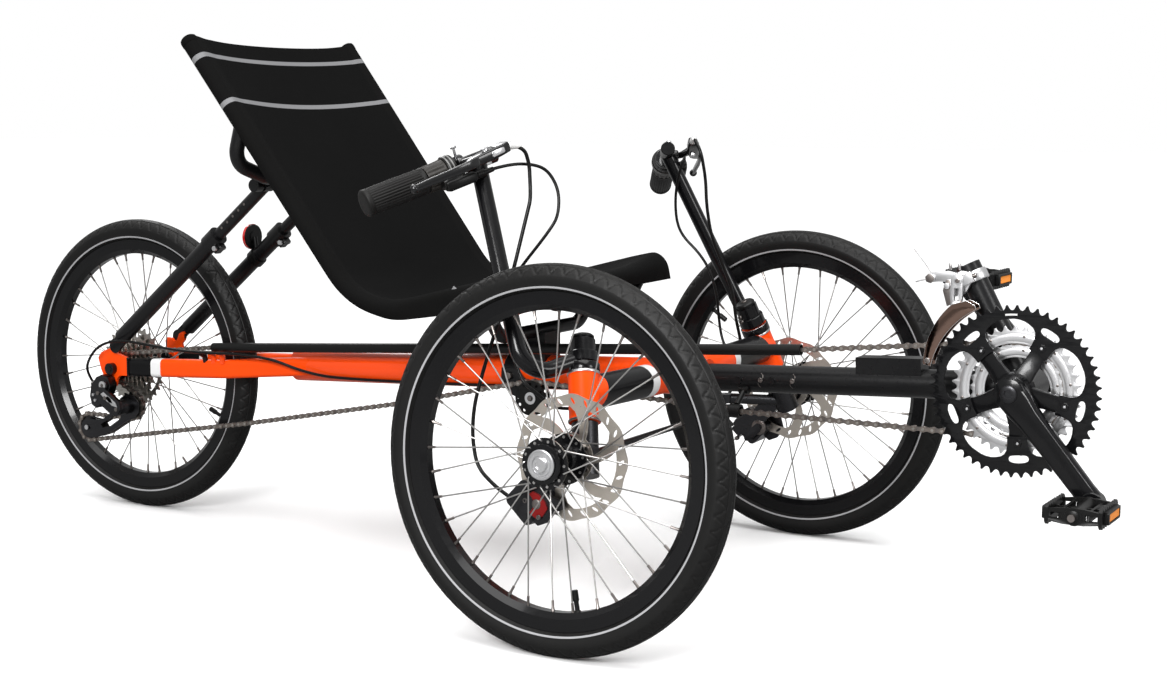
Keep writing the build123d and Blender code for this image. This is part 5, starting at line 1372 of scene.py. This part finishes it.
made = Maker()
for side in SIDES.values():
    low, joint = at(-1024, side * 79, 282), at(-795, side * 79, 472)
    along = (joint - low).normalized()
    normal = along.cross(Vector((0, 1, 0))).normalized()
    normal = normal if normal.z < 0 else -normal
    hold = joint - along * 0.011 + normal * 0.016
    out = Vector((0, side, 0))
    made.rod([hold + out * 0.0095, hold + out * 0.0125], [4.4, 4.0], 20, 0)
    made.rod([hold - out * 0.0078, hold - out * 0.0125], [4.4, 4.0], 6, 0)
    for k in range(5):
        spot = low + (joint - low) * (1.07 + 0.05 * k)
        made.rod([spot + out * 0.0088, spot + out * 0.0096], 2.1, 14, 1)
made.build("strut_bolts", "frame", [silver, dark_steel], slot="steel")

made = Maker()
lens_place = frame_at(at(-864, 79, 459), (0, 1, 0), (-1, 0, 0))
profile = [(0.1, 0.1), (0.1, 1.0), (18.5, 1.0), (20.8, 0.2), (21.4, -4.5), (20.6, -4.5)]
made.lathe(lens_place, profile, 48)
for k in range(3):
    made.lathe(lens_place, [(5 * k + 3, 1.0), (5 * k + 4.5, 1.5), (5 * k + 6, 1.0)], 48, loop=False)
made.build("red_lens", "frame", [red_lens], slot="reflector")

# %% Rear stays and dropouts
DROPOUT_Y = 66.0
RIGHT_END = [(-1068, 259), (-1061, 268), (-1050, 273), (-1038, 277), (-1026, 269), (-1000, 262),
             (-1000, 233), (-1020, 232), (-1027, 226), (-1030, 214), (-1040, 210), (-1050, 214),
             (-1055, 226), (-1062, 240)]
LEFT_END = [(-1060, 232), (-1062, 250), (-1055, 262), (-1046, 263), (-1048, 274), (-1043, 280), (-1033, 279),
            (-1028, 274), (-1021, 277), (-1016, 288), (-1008, 292), (-1002, 286), (-1005, 277), (-1011, 271),
            (-1009, 264), (-1000, 262), (-1000, 233), (-1020, 228), (-1044, 224)]
made = Maker()
for side, end in ((-1, RIGHT_END), (1, LEFT_END)):
    spots = [(-1005, 61, 246), (-930, 56.7, 250), (-840, 51.4, 254.6), (-815, 50, 256), (-795, 45.2, 257.5),
             (-700, 22.7, 265), (-655, 12, 268)]
    line = smooth_line([at(x, side * y, z) for x, y, z in spots])
    rings = []
    for k, point in enumerate(line):
        along = (line[min(k + 1, len(line) - 1)] - line[max(k - 1, 0)]).normalized()
        across = Vector((0, 0, 1)).cross(along).normalized()
        rise = along.cross(across)
        rings.append([point + (across * x + rise * y) / 1000 for x, y in rounded(20, 30, 7, 5)])
    made.loft(rings)
    low = -DROPOUT_Y - 6.0 if side < 0 else DROPOUT_Y
    side_plate(made, end, low, low + 6.0)
    made.rod([at(-WHEELBASE, side * 63, TYRE_R), at(-WHEELBASE, side * 66.5, TYRE_R)], 14.0, 32)
stays = made.build("rear_fork_stays", "frame", [stay_paint], bevel=0.8, slot="orange_paint")
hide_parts("rear_stays")

made = Maker()
for count, ahead in enumerate((-846, -828, -810)):
    outer = -71 + (ahead + 828) * 0.12
    made.rod([at(ahead, -57, 266), at(ahead, -59, 276), at(ahead, outer + 2.5, 281)], [4.4, 4.4, 3.4], 14,
             0 if count else 1)
made.build("stay_cable_lugs", "frame", [orange_paint, black_satin], slot="orange_paint")
print("small fittings set")

# %% [markdown]
# ## Seat
# The seat is one piece of heavy mesh cloth with a sleeve sewn along each side. The two rails of the frame
# slide into the sleeves and stretch it, so it hangs a little between them. It is built as a sheet of rows
# that follow the rails: each row wraps one rail, crosses over in a shallow curve and wraps the other. Beside
# the pan the sleeve widens and its outer side falls to a skirt, and in front the edge turns down over the
# rails' ends. A cloth simulation could find the same curve, but the pull of the rails is known, so the curve
# is drawn.

# %% The rails' line in side view
RAIL = [(-743.0, 190.0, 766.4), (-438.0, 181.0, 377.0), (-145.0, 150.0, 441.0)]
RAIL_BEND, RAIL_R = 120.0, 11.0
ends = [Vector((x, z)) for x, half, z in RAIL]
back_way, pan_way = (ends[1] - ends[0]).normalized(), (ends[2] - ends[1]).normalized()
bend_by = back_way.angle(pan_way)
BACK_RUN = (ends[1] - ends[0]).length - RAIL_BEND * math.tan(bend_by / 2)
BEND_RUN = RAIL_BEND * bend_by
PAN_RUN = (ends[2] - ends[1]).length - RAIL_BEND * math.tan(bend_by / 2)
SHEET_RUN = BACK_RUN + BEND_RUN + PAN_RUN


def upward(way):
    """A side-view direction turned up by a quarter."""
    return Vector((-way.y, way.x))


def turned(way, angle):
    """A side-view direction turned by an angle."""
    c, s = math.cos(angle), math.sin(angle)
    return Vector((way.x * c - way.y * s, way.x * s + way.y * c))


def rail_station(run):
    """The rail's middle in side view, its direction and half the distance between the rails."""
    if run < BACK_RUN:
        spot, way = ends[0] + back_way * run, back_way
    else:
        hub = ends[0] + back_way * BACK_RUN + upward(back_way) * RAIL_BEND
        angle = min(run - BACK_RUN, BEND_RUN) / RAIL_BEND
        way = turned(back_way, angle)
        spot = hub - upward(way) * RAIL_BEND + way * max(0.0, run - BACK_RUN - BEND_RUN)
    if spot.x < RAIL[1][0]:
        share = (spot.x - RAIL[0][0]) / (RAIL[1][0] - RAIL[0][0])
        half = RAIL[0][1] + (RAIL[1][1] - RAIL[0][1]) * share
    else:
        share = (spot.x - RAIL[1][0]) / (RAIL[2][0] - RAIL[1][0])
        half = RAIL[1][1] + (RAIL[2][1] - RAIL[1][1]) * share
    return spot, way, half


def on_seat(run, y, height):
    """A point at a distance down the rails, left of the middle and above the rails' line."""
    spot, way = rail_station(run)[:2]
    spot = spot + upward(way) * height
    return at(spot.x, y, spot.y)


print("sheet runs", round(SHEET_RUN), "mm down the rails")

# %% The stretched sheet
SLEEVE_R = RAIL_R + 1.8
LEAVES_AT = 103.0             # degrees round the rail where the cloth lets go of it
HEM_FROM = -150.0
OVERHANG, NOSE = 3.0, 44.0    # cloth past the rails' ends, and the part of it that turns down in front
BELLY = 29.0
STRIPES = ((26.0, 38.0), (110.0, 121.0))
WRAP = [HEM_FROM, -128, -106, -84, -62, -40, -18, 4, 26, 48, 68, 84, LEAVES_AT]
SPAN = [0.965, 0.93, 0.89, 0.84, 0.76, 0.66, 0.54, 0.4, 0.26, 0.13, 0.0]
SPAN = SPAN + [-q for q in reversed(SPAN[:-1])]


def hang(run):
    """How deep the middle hangs: less at the hems, which are pulled tight."""
    down = min(1.0, run / 430.0)
    up = min(1.0, (SHEET_RUN - run) / 90.0)
    return BELLY * (0.34 + 0.66 * math.sin(down * math.pi / 2)) * (0.6 + 0.4 * math.sin(up * math.pi / 2))


def creases(run, share, y):
    """Soft folds where the bend pushes the cloth together, and a slight pull at the sleeves."""
    near_bend = math.exp(-((run - BACK_RUN - BEND_RUN * 0.75) / 85.0) ** 2)
    fold = math.sin(run / 9.5 + 1.4 * math.sin(y / 52.0)) + 0.5 * math.sin(run / 5.7 + y / 41.0 + 1.0)
    pull = 0.5 * math.sin(run / 23.0 + 0.9) * share ** 4
    return 1.7 * near_bend * fold * (1 - share ** 4) + pull


def seat_row(run):
    """One row of the sheet from the right hem to the left one, in metres."""
    past = max(0.0, (run - SHEET_RUN - OVERHANG) / NOSE)
    run = min(run, SHEET_RUN + OVERHANG)
    half = rail_station(run)[2]
    sleeve = SLEEVE_R + 6.0 * max(0.0, min(1.0, (run - SHEET_RUN + 210.0) / 180.0))
    reach = half + sleeve * math.cos(math.radians(LEAVES_AT))
    lift = sleeve * math.sin(math.radians(LEAVES_AT))
    falls = max(0.0, min(1.0, (run - BACK_RUN + 20.0) / 190.0))
    falls = falls * falls * (3 - 2 * falls)
    deep = 18.5 + 7.0 * max(0.0, min(1.0, (run - BACK_RUN - BEND_RUN - 15.0) / 130.0))

    def nosed(forward, y, h):
        """A point of this row, turned down over the front when the row lies past the rails' ends."""
        sink = past ** 1.6
        forward += 17.0 * math.sin(past * math.pi * 0.78)
        return on_seat(forward, y * (1 - 0.10 * past * past), h + sink * (-deep - h))

    def wrapped(angle, side):
        """A point round one rail; its outer side falls to the skirt beside the pan."""
        x, h = polar(sleeve, angle)
        down = max(0.0, (8.0 - angle) / 158.0)
        if down:
            x += falls * (sleeve * 0.93 - x)
            h += falls * (-deep * down - h)
        return nosed(run, side * (half + x), h)

    row = [wrapped(angle, -1) for angle in WRAP]
    for q in SPAN:
        share = abs(q)
        y = -q * reach
        drop = hang(run) * (1 - q * q)
        tuck = 7.0 * (1 - share ** 6) * max(0.0, 1 - run / 50.0)
        seam = -0.7 if 0.885 < share < 0.9 else 0.0
        row.append(nosed(run + tuck, y, lift - drop + creases(run, share, y) + seam))
    return row + [wrapped(angle, 1) for angle in reversed(WRAP)]


runs = [-OVERHANG, 2.0, 8.0, 14.0, 20.0, 25.0, *STRIPES[0], 39.0]
runs += [39 + (109 - 39) * k / 6 for k in range(1, 7)] + [*STRIPES[1], 122.0]
tail_rows = 52
runs += [122 + (SHEET_RUN + OVERHANG - 122) * k / tail_rows for k in range(1, tail_rows + 1)]
runs += [SHEET_RUN + OVERHANG + NOSE * share for share in (0.12, 0.26, 0.42, 0.6, 0.8, 1.0)]
rows = [seat_row(run) for run in runs]
made = Maker()
made.loft(rows, caps=False, closed=False)
wide = len(rows[0])
for k in range(len(made.faces)):
    i, j = divmod(k, wide - 1)
    middle = (runs[i] + runs[i + 1]) / 2
    if any(low < middle < high for low, high in STRIPES):
        made.marks[k] = 1
    elif j < len(WRAP) + 1 or j > wide - len(WRAP) - 3:
        made.marks[k] = 2
sling = made.build("seat_cloth", None, [seat_cloth, cloth_stripe, sleeve_cloth], sharp=180)
layer = sling.data.uv_layers.new(name="cloth")
across_run = [0.0]
for p, q in zip(rows[30], rows[30][1:]):
    across_run.append(across_run[-1] + (q - p).length)
spots = {}
for i, row in enumerate(rows):
    for j, p in enumerate(row):
        spots[tuple(round(v, 5) for v in p)] = (across_run[j], runs[i] / 1000)
for loop in sling.data.loops:
    key = tuple(round(v, 5) for v in sling.data.vertices[loop.vertex_index].co)
    layer.data[loop.index].uv = spots[key]
step = sling.modifiers.new("subdivision", "SUBSURF")
step.levels = step.render_levels = 1
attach(sling, "frame")
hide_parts("seat_sling")

# %% Corner pockets, straps and a buckle
made = Maker()
for side in SIDES.values():
    for run, out in ((-2.0, -1), (SHEET_RUN + 2.0, 1)):
        way, half = rail_station(max(0.0, min(run, SHEET_RUN)))[1:]
        aim = Vector((way.x, 0, way.y)) * out
        base = on_seat(run, side * half, 0)
        place = frame_at(base, (0, 1, 0), aim)
        pocket = [(13.0, -6), (13.2, 0), (12.4, 3.5), (9.5, 6.0), (5, 7.2), (0.05, 7.4)]
        made.lathe(place, pocket, 28, loop=False)
tag_out = rail_station(BACK_RUN + BEND_RUN + 150)[2] + 14.5
tag_place = frame_at(at(-288, -tag_out, 418), (0.55, 0, 0.83), (0, -1, 0))
made.block(tag_place, (17, 7, 1.4), mark=1)
pockets = made.build("seat_pockets", "frame", [sleeve_cloth, cloth_stripe], sharp=180, slot="fabric")

STRAPS = (82, 232, 342, 602, 714)


def strap_height(run, q):
    """A strap's height over the rails' line; q runs from -1 to 1 between the rails."""
    return -7.5 - max(0.0, hang(run) - 11.0) * (1 - q ** 4)


made = Maker()
for number, run in enumerate(STRAPS):
    half = rail_station(run)[2]
    rings = []
    for k in range(17):
        q = -1 + k / 8
        y = q * (half - 10.5)
        height = strap_height(run, q)
        ring = [on_seat(run + s, y, height + t) for s, t in ((-12, -0.7), (12, -0.7), (12, 0.7), (-12, 0.7))]
        rings.append(ring)
    made.loft(rings)
    y = 52 if number % 2 else 64
    height = strap_height(run, y / (half - 10.5))
    centre = on_seat(run, y, height - 2.2)
    place = frame_at(centre, (0, 1, 0), on_seat(run, y, height + 10) - centre)
    made.block(place, (26, 30, 3.0), mark=1, taper=0.9)
    for k in (-1, 0, 1):
        made.block(place, (3.5, 32, 5.0), mark=1, centre=(k * 9.5, 0, 0))
straps = made.build("seat_straps", "frame", [webbing, black_plastic], bevel=0.4, slot="fabric")
print("straps:", len(STRAPS))

# %% [markdown]
# ## Controls
# Each hand bar carries a brake lever, a twist shifter and a grip. They are drawn in the bar's own place, with
# x along the bar to the grip's end, y the way the fingers reach, and z up, and set down on both sides. The
# left one is the right one in a mirror.

# %% The bar's place
RISER_TOP, BAR_END = (-184, 266, 604), (-268, 405, 549)


def bar_place(side):
    """Along the bar, the way the fingers reach, and up, as three unit vectors from the bar's middle."""
    middle = at(RISER_TOP[0], side * RISER_TOP[1], RISER_TOP[2])
    along = (at(BAR_END[0], side * BAR_END[1], BAR_END[2]) - middle).normalized()
    reach = along.cross(Vector((0, 0, 1))).normalized() * side
    up = reach.cross(along).normalized() * side
    return middle, along, reach, up


def on_bar(side, along_by, reach_by=0.0, up_by=0.0):
    """A point measured in mm from the hand bar's middle."""
    middle, along, reach, up = bar_place(side)
    return middle + (along * along_by + reach * reach_by + up * up_by) / 1000


def turned_on_bar(side, profile, steps, ribs=0, depth=0.0, fluted=()):
    """A sleeve round the bar from (along, radius) pairs, with flutes between the named distances."""
    middle, along, reach, up = bar_place(side)
    rings = []
    for along_by, radius in profile:
        ring = []
        for k in range(steps):
            angle = 2 * math.pi * k / steps
            r = radius
            if fluted and fluted[0] <= along_by <= fluted[1]:
                r -= depth * (0.5 - 0.5 * math.cos(angle * ribs)) ** 2
            out = reach * math.cos(angle) + up * math.sin(angle)
            ring.append(middle + along * along_by / 1000 + out * r / 1000)
        rings.append(ring)
    return rings


def loft_on_bar(made, side, sections, mark=0, corner=0.3):
    """A rounded bar of sections: along, reach, up, and its size in reach and up."""
    rings = []
    for a, r, u, wide, tall in sections:
        ring = []
        for x, y in rounded(wide, tall, min(wide, tall) * corner, 4):
            ring.append(on_bar(side, a, r + x, u + y))
        rings.append(ring)
    made.loft(rings, mark)


def bar_rod(made, side, spots, radius, sides=16, mark=0):
    """A round bar through points measured from the hand bar."""
    made.rod([on_bar(side, *spot) for spot in spots], radius, sides, mark)


print("bars reach", [round(v, 3) for v in on_bar(-1, 162)])

# %% Clamps, bent risers and hand bars
RISER_FOOT, BEND = (-76.0, 332.0, 350.0), 0.034
for name, side in SIDES.items():
    middle, along, reach, up = bar_place(side)
    foot = at(RISER_FOOT[0], side * RISER_FOOT[1], RISER_FOOT[2])
    rising = (middle - foot).normalized()
    corner = foot - rising * 0.017
    hold = kingpin(354, side)
    outward = (corner - hold).normalized()
    turn = outward.angle(rising)
    centre = corner + (rising - outward).normalized() * BEND / math.cos(turn / 2)
    first = corner - outward * BEND * math.tan(turn / 2) - centre
    axis = outward.cross(rising)
    bend = [centre + Matrix.Rotation(turn * k / 12, 4, axis) @ first for k in range(13)]
    made = Maker()
    made.rod([hold + outward * 0.014, *bend, middle], 11.0, 28)
    bar_line = [middle - along * 0.026, middle - along * 0.025, middle + along * 0.162]
    made.rod(bar_line, [10.2, 11.0, 11.0], 28)
    way = kingpin(400, side) - kingpin(300, side)
    collar = [(12.9, 0), (18.8, 0), (19.5, 0.8), (19.5, 13.2), (18.8, 14), (16.4, 14.4), (16.4, 31),
              (12.9, 31)]
    made.lathe(frame_at(kingpin(348, side), (1, 0, 0), way), collar, 48)
    bars = made.build(name + "_bar_and_riser", name + "_knuckle", [black_gloss], slot="black_paint")
    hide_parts(name + "_handlebar")
print("bars", len(bars.data.polygons), "faces each")

# %% Grips
for name, side in SIDES.items():
    made = Maker()
    profile = [(80, 11.2), (80, 16.6), (81, 17.8), (84.5, 17.8), (85.5, 16.9), (87, 17.6), (122, 17.9),
               (158, 17.6), (159.5, 16.9), (160.5, 17.9), (166, 17.9), (167.4, 16.6), (167.8, 12),
               (167.9, 4)]
    made.loft(turned_on_bar(side, profile, 112, ribs=28, depth=1.3, fluted=(87, 158)))
    grip = made.build(name + "_ribbed_grip", name + "_knuckle", [grip_rubber], sharp=50, slot="rubber")
    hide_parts(name + "_grip")
print("grips", len(grip.data.polygons), "faces each")

# %% Twist shifters
for name, side in SIDES.items():
    made = Maker()
    profile = [(50.5, 11.2), (50.5, 18.6), (52, 19.4), (54, 19.2), (66, 18.4), (77, 18.0), (78.8, 17.0),
               (78.8, 11.2)]
    made.loft(turned_on_bar(side, profile, 96, ribs=16, depth=1.7, fluted=(53, 77)))
    inner_drum = [(37, 11.2), (37, 19.5), (38.5, 21.0), (49, 21.0), (50.3, 20.0), (50.3, 11.2)]
    made.loft(turned_on_bar(side, inner_drum, 64), 1)
    for start in (41.0, 46.4):
        grey_band = [(start, 20.8), (start, 21.4), (start + 2.4, 21.4), (start + 2.4, 20.8)]
        made.loft(turned_on_bar(side, grey_band, 64), 2)
    shell = [(38, 20, -10, 20, 16), (40, 21, -10, 22, 19), (60, 22, -10, 20, 18), (66, 22, -10, 14, 14)]
    nose = [(64, 26, -13, 12, 12), (60, 26, -13, 15, 15), (24, 26, -13, 14, 14), (20, 26, -13, 10, 10)]
    loft_on_bar(made, side, shell, 1)
    loft_on_bar(made, side, nose, 1)
    bar_rod(made, side, [(22, 26, -13), (8, 26, -13)], 4.6, 20, 1)
    for k in range(4):
        bar_rod(made, side, [(18 - 3 * k, 26, -13), (16.6 - 3 * k, 26, -13)], 5.4, 20, 1)
    bar_rod(made, side, [(8, 26, -13), (0, 26, -13), (-6, 26, -13)], [3.9, 3.6, 3.2], 20, 1)
    drum = made.build(name + "_twist_shifter", name + "_knuckle", [shift_rubber, black_plastic, band_grey],
                      bevel=0.3, sharp=42, slot="plastic")
    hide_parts(name + "_shifter")
print("shifters", len(drum.data.polygons), "faces each")

# %% Brake levers
for name, side in SIDES.items():
    made = Maker()
    clamp = [(22, 11.2), (22, 15.6), (23, 16.2), (34, 16.2), (35, 15.6), (35, 11.2)]
    made.loft(turned_on_bar(side, clamp, 48))
    lug = [(21.5, 12, 5, 12, 14), (22.5, 13, 5, 14, 16), (34, 13, 5, 14, 16), (35, 12, 5, 12, 14)]
    loft_on_bar(made, side, lug)
    neck = [(33, 18, 6, 8, 9), (30, 24, 7, 10, 10), (24, 30, 8, 11, 10), (14, 35, 8, 12, 11),
            (6, 38, 8, 12, 12)]
    loft_on_bar(made, side, neck)
    body = [(-31, 38, 10, 8, 8), (-29, 38, 10, 13, 13), (-20, 39, 9.5, 16, 14), (-4, 40, 8.5, 18, 15),
            (14, 42, 8, 18, 14), (30, 45, 7.5, 15, 12), (38, 48, 7, 8, 8)]
    loft_on_bar(made, side, body, 0, 0.22)
    blade = [(20, 49, 8, 6, 9), (24, 52, 7.5, 6.5, 12), (40, 54.5, 7, 5.5, 12), (66, 54.5, 6, 4.8, 11),
             (92, 52, 5, 4.6, 10), (110, 50, 4, 4.6, 9), (116, 50, 4, 5, 9)]
    loft_on_bar(made, side, blade, 3, 0.35)
    ball = [(0.05, -5.5), (3.2, -5), (5.4, -3), (6.2, 0), (5.4, 3), (3.2, 5), (0.05, 5.5)]
    made.lathe(frame_at(on_bar(side, 116, 50, 4), (0, 0, 1), bar_place(side)[1]), ball, 24, 3, loop=False)
    front_plate = [(-20, 46.4, 9.5, 2.2, 5.5), (-18, 47.2, 9.5, 2.6, 7.5), (-2, 48.8, 8.7, 2.6, 7.5),
                   (0, 48.5, 8.6, 2.2, 5.5)]
    loft_on_bar(made, side, front_plate, 1)
    top_plate = [(-26, 38.5, 16.4, 9, 1.8), (-24, 38.5, 16.8, 11, 2.2), (-10, 40, 16.4, 13, 2.2),
                 (-8, 40, 16.2, 11, 1.8)]
    loft_on_bar(made, side, top_plate, 1)
    bar_rod(made, side, [(4, 40, -2.5), (4, 40, 18)], 4.2, 20, 1)
    bar_rod(made, side, [(4, 40, 18), (4, 40, 19.2)], 5.6, 20, 1)
    bar_rod(made, side, [(30, 4, 14), (30, 5, 27), (30, 5, 28.5)], [1.8, 1.8, 1.8], 12, 1)
    bar_rod(made, side, [(30, 5, 26.5), (30, 5, 28.8), (30, 5, 29.4)], [3.9, 4.3, 3.4], 12, 1)
    bar_rod(made, side, [(28, 15, -6), (28, 19, -12)], [3.6, 3.6], 6, 1)
    bar_rod(made, side, [(-29, 38, 10), (-32, 38, 10)], 5.4, 20, 2)
    mouth = on_bar(side, -32, 38, 10)
    first = at(-134, side * 251, 623) if side < 0 else at(-128, side * 248, 628)
    way = (first - mouth).normalized()
    boot = [mouth, mouth + way * 0.003, mouth + way * 0.011, mouth + way * 0.018]
    made.rod(boot, [5.2, 5.0, 3.9, 3.4], 20, 2)
    lever = made.build(name + "_lever", name + "_knuckle", [lever_black, silver, clear_boot, lever_black],
                       bevel=0.25, sharp=38, slot="black_paint")
    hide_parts(name + "_brake_lever")
print("levers", len(lever.data.polygons), "faces each")

# %% Brake calipers: a red plate, bolts and the arm that the cable pulls
CALIPER_TURN, CALIPER_MID, CALIPER_AHEAD = 227.0, 84.0, 17.0
for name, side in SIDES.items():
    place = WHEELS[name + "_front"] @ Matrix.Rotation(math.radians(-side * CALIPER_TURN), 4, "Z")

    def spot(out, back, z):
        """A point on the caliper, measured from the wheel's axis."""
        return place @ (Vector((out, back, z)) / 1000)

    made = Maker()
    ahead, reach = (Matrix.Translation((v / 1000, 0, 0)) for v in (CALIPER_AHEAD, CALIPER_MID))
    face = ahead @ place @ reach
    body = [(19, -20), (22, 0), (19, 20), (6, 26), (-12, 24), (-24, 30), (-30, 22), (-22, 6), (-22, -8),
            (-12, -24), (6, -26)]
    made.plate(face, [body], -31.5, -26.0, 0)
    red = [(13, -14), (15, -6), (15, 6), (13, 14), (4, 17), (-8, 15), (-12, 6), (-12, -6), (-8, -15),
           (4, -17)]
    made.plate(face, [red], -26.2, -24.0, 1)
    for x, y in ((9, -14), (9, 14)):
        bolt(made, face @ Matrix.Translation((x / 1000, y / 1000, -0.024)), 3.4, 1.6, mark=2)
    made.lathe(face @ Matrix.Translation((0, 0, -0.024)),
               [(0.1, 1.2), (4.5, 1.2), (6.5, 0.4), (6.5, 0), (0.1, 0)], 28, 2)
    made.lathe(face @ Matrix.Translation((0, 0, -0.067)),
               [(0.1, -1.5), (9, -1.5), (12, 0), (12, 2), (0.1, 2)], 32, 2)
    arm = [(-4, -5), (4, -7), (26, -5), (31, 0), (29, 5), (22, 5), (6, 7), (-4, 6), (-7, 0)]
    made.plate(face, [arm], -71.5, -68.4, 0)
    made.rod([spot(CALIPER_MID + 27, 0, -73), spot(CALIPER_MID + 27, 0, -67)], 3.6, 6, 2)
    piece = made.build(name + "_caliper_plates", name + "_knuckle", [graphite, red_plate, dark_steel],
                       bevel=0.5, slot="dark_steel")
print("calipers", len(piece.data.polygons), "faces each")

# %% [markdown]
# ## Cables
# A gear cable is one smooth line from shifter to derailleur. Where it passes from the steered part to the
# frame it has to bend with the steering; here that length is drawn once as it lies and is held by neither the
# knuckle nor the frame. Its line is a NURBS curve with a few control points, which is how stiff housing lies.

# %% Gear cables
GEAR_ROUTE = {
    "right": [(-144, 248, 600), (-126, 221, 599), (-112, 208, 591), (-98, 204, 566), (-95, 209, 536),
              (-98, 221, 517), (-147, 238, 452), (-148, 253, 429), (-146, 262, 399), (-127, 277, 364),
              (-108, 284, 331), (-100, 286, 320)],
    "left": [(-144, 251, 602), (-150, 248, 586), (-164, 257, 546), (-164, 260, 503), (-154, 263, 477),
             (-127, 266, 453), (-109, 270, 426), (-99, 276, 388), (-99, 283, 351), (-94, 283, 322)]}
GEAR_SPLIT = (-84, 278, 306)
OVER_ARM = [(-67, 268, 288), (-44, 244, 286), (-31, 205, 290), (-29, 160, 291), (-29, 115, 291)]
GEAR_CABLE_R = 2.2
GEAR_UNDER = (25.4 + GEAR_CABLE_R + 0.3) / math.sqrt(2)
TO_REAR = [(-36, -72, 290), (-62, -42, 286)]
UP_STAY = [(-668, -36, 262), (-712, -50, 279), (-770, -64, 285), (-828, -71, 283), (-884, -80, 284),
           (-944, -92, 292), (-996, -98, 296), (-1040, -98, 284), (-1068, -94, 258), (-1079, -88, 236),
           (-1071.3, -82.1, 219.6)]
TO_FRONT = [(-26, 72, 287), (0, 38, 281)]


def housing_tube(name, points, body=None):
    """One cable's housing along a smooth line."""
    line_points = smooth_line(points, 7)
    made = Maker()
    made.rod(line_points, GEAR_CABLE_R, 10)
    return made.build(name, body, [housing], sharp=60, slot="rubber")


for name, side in SIDES.items():
    start = on_bar(side, -6.8, 26, -13)
    route = [start, *[at(x, side * y, z) for x, y, z in (*GEAR_ROUTE[name], GEAR_SPLIT, *OVER_ARM)]]
    piece = housing_tube(name + "_gear_housing", route)
    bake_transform(piece)
    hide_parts(name + "_gear_cable")

under = [tube_centre(ahead) + Vector((0, -GEAR_UNDER, -GEAR_UNDER)) / 1000 for ahead in (-100, -600)]
joined = [at(x, -y, z) for x, y, z in OVER_ARM[-1:]]
rear_line = [*joined, *[at(*p) for p in TO_REAR], *under, *[at(*p) for p in UP_STAY]]
rear_housing = housing_tube("rear_gear_housing", rear_line, "frame")
FRONT_UNDER = (19.0 + GEAR_CABLE_R + 0.4) / math.sqrt(2)
beside = [tube_centre(ahead) + Vector((0, FRONT_UNDER, -FRONT_UNDER)) / 1000 for ahead in (60, 330)]
over_left = [at(*OVER_ARM[-1]), *[at(*p) for p in TO_FRONT], *beside]
housing_tube("front_gear_housing", over_left, "frame")
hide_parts("gear_cables")
print("rear gear housing", round(sum((q - p).length for p, q in zip(rear_line, rear_line[1:])), 2),
      "m of control line")
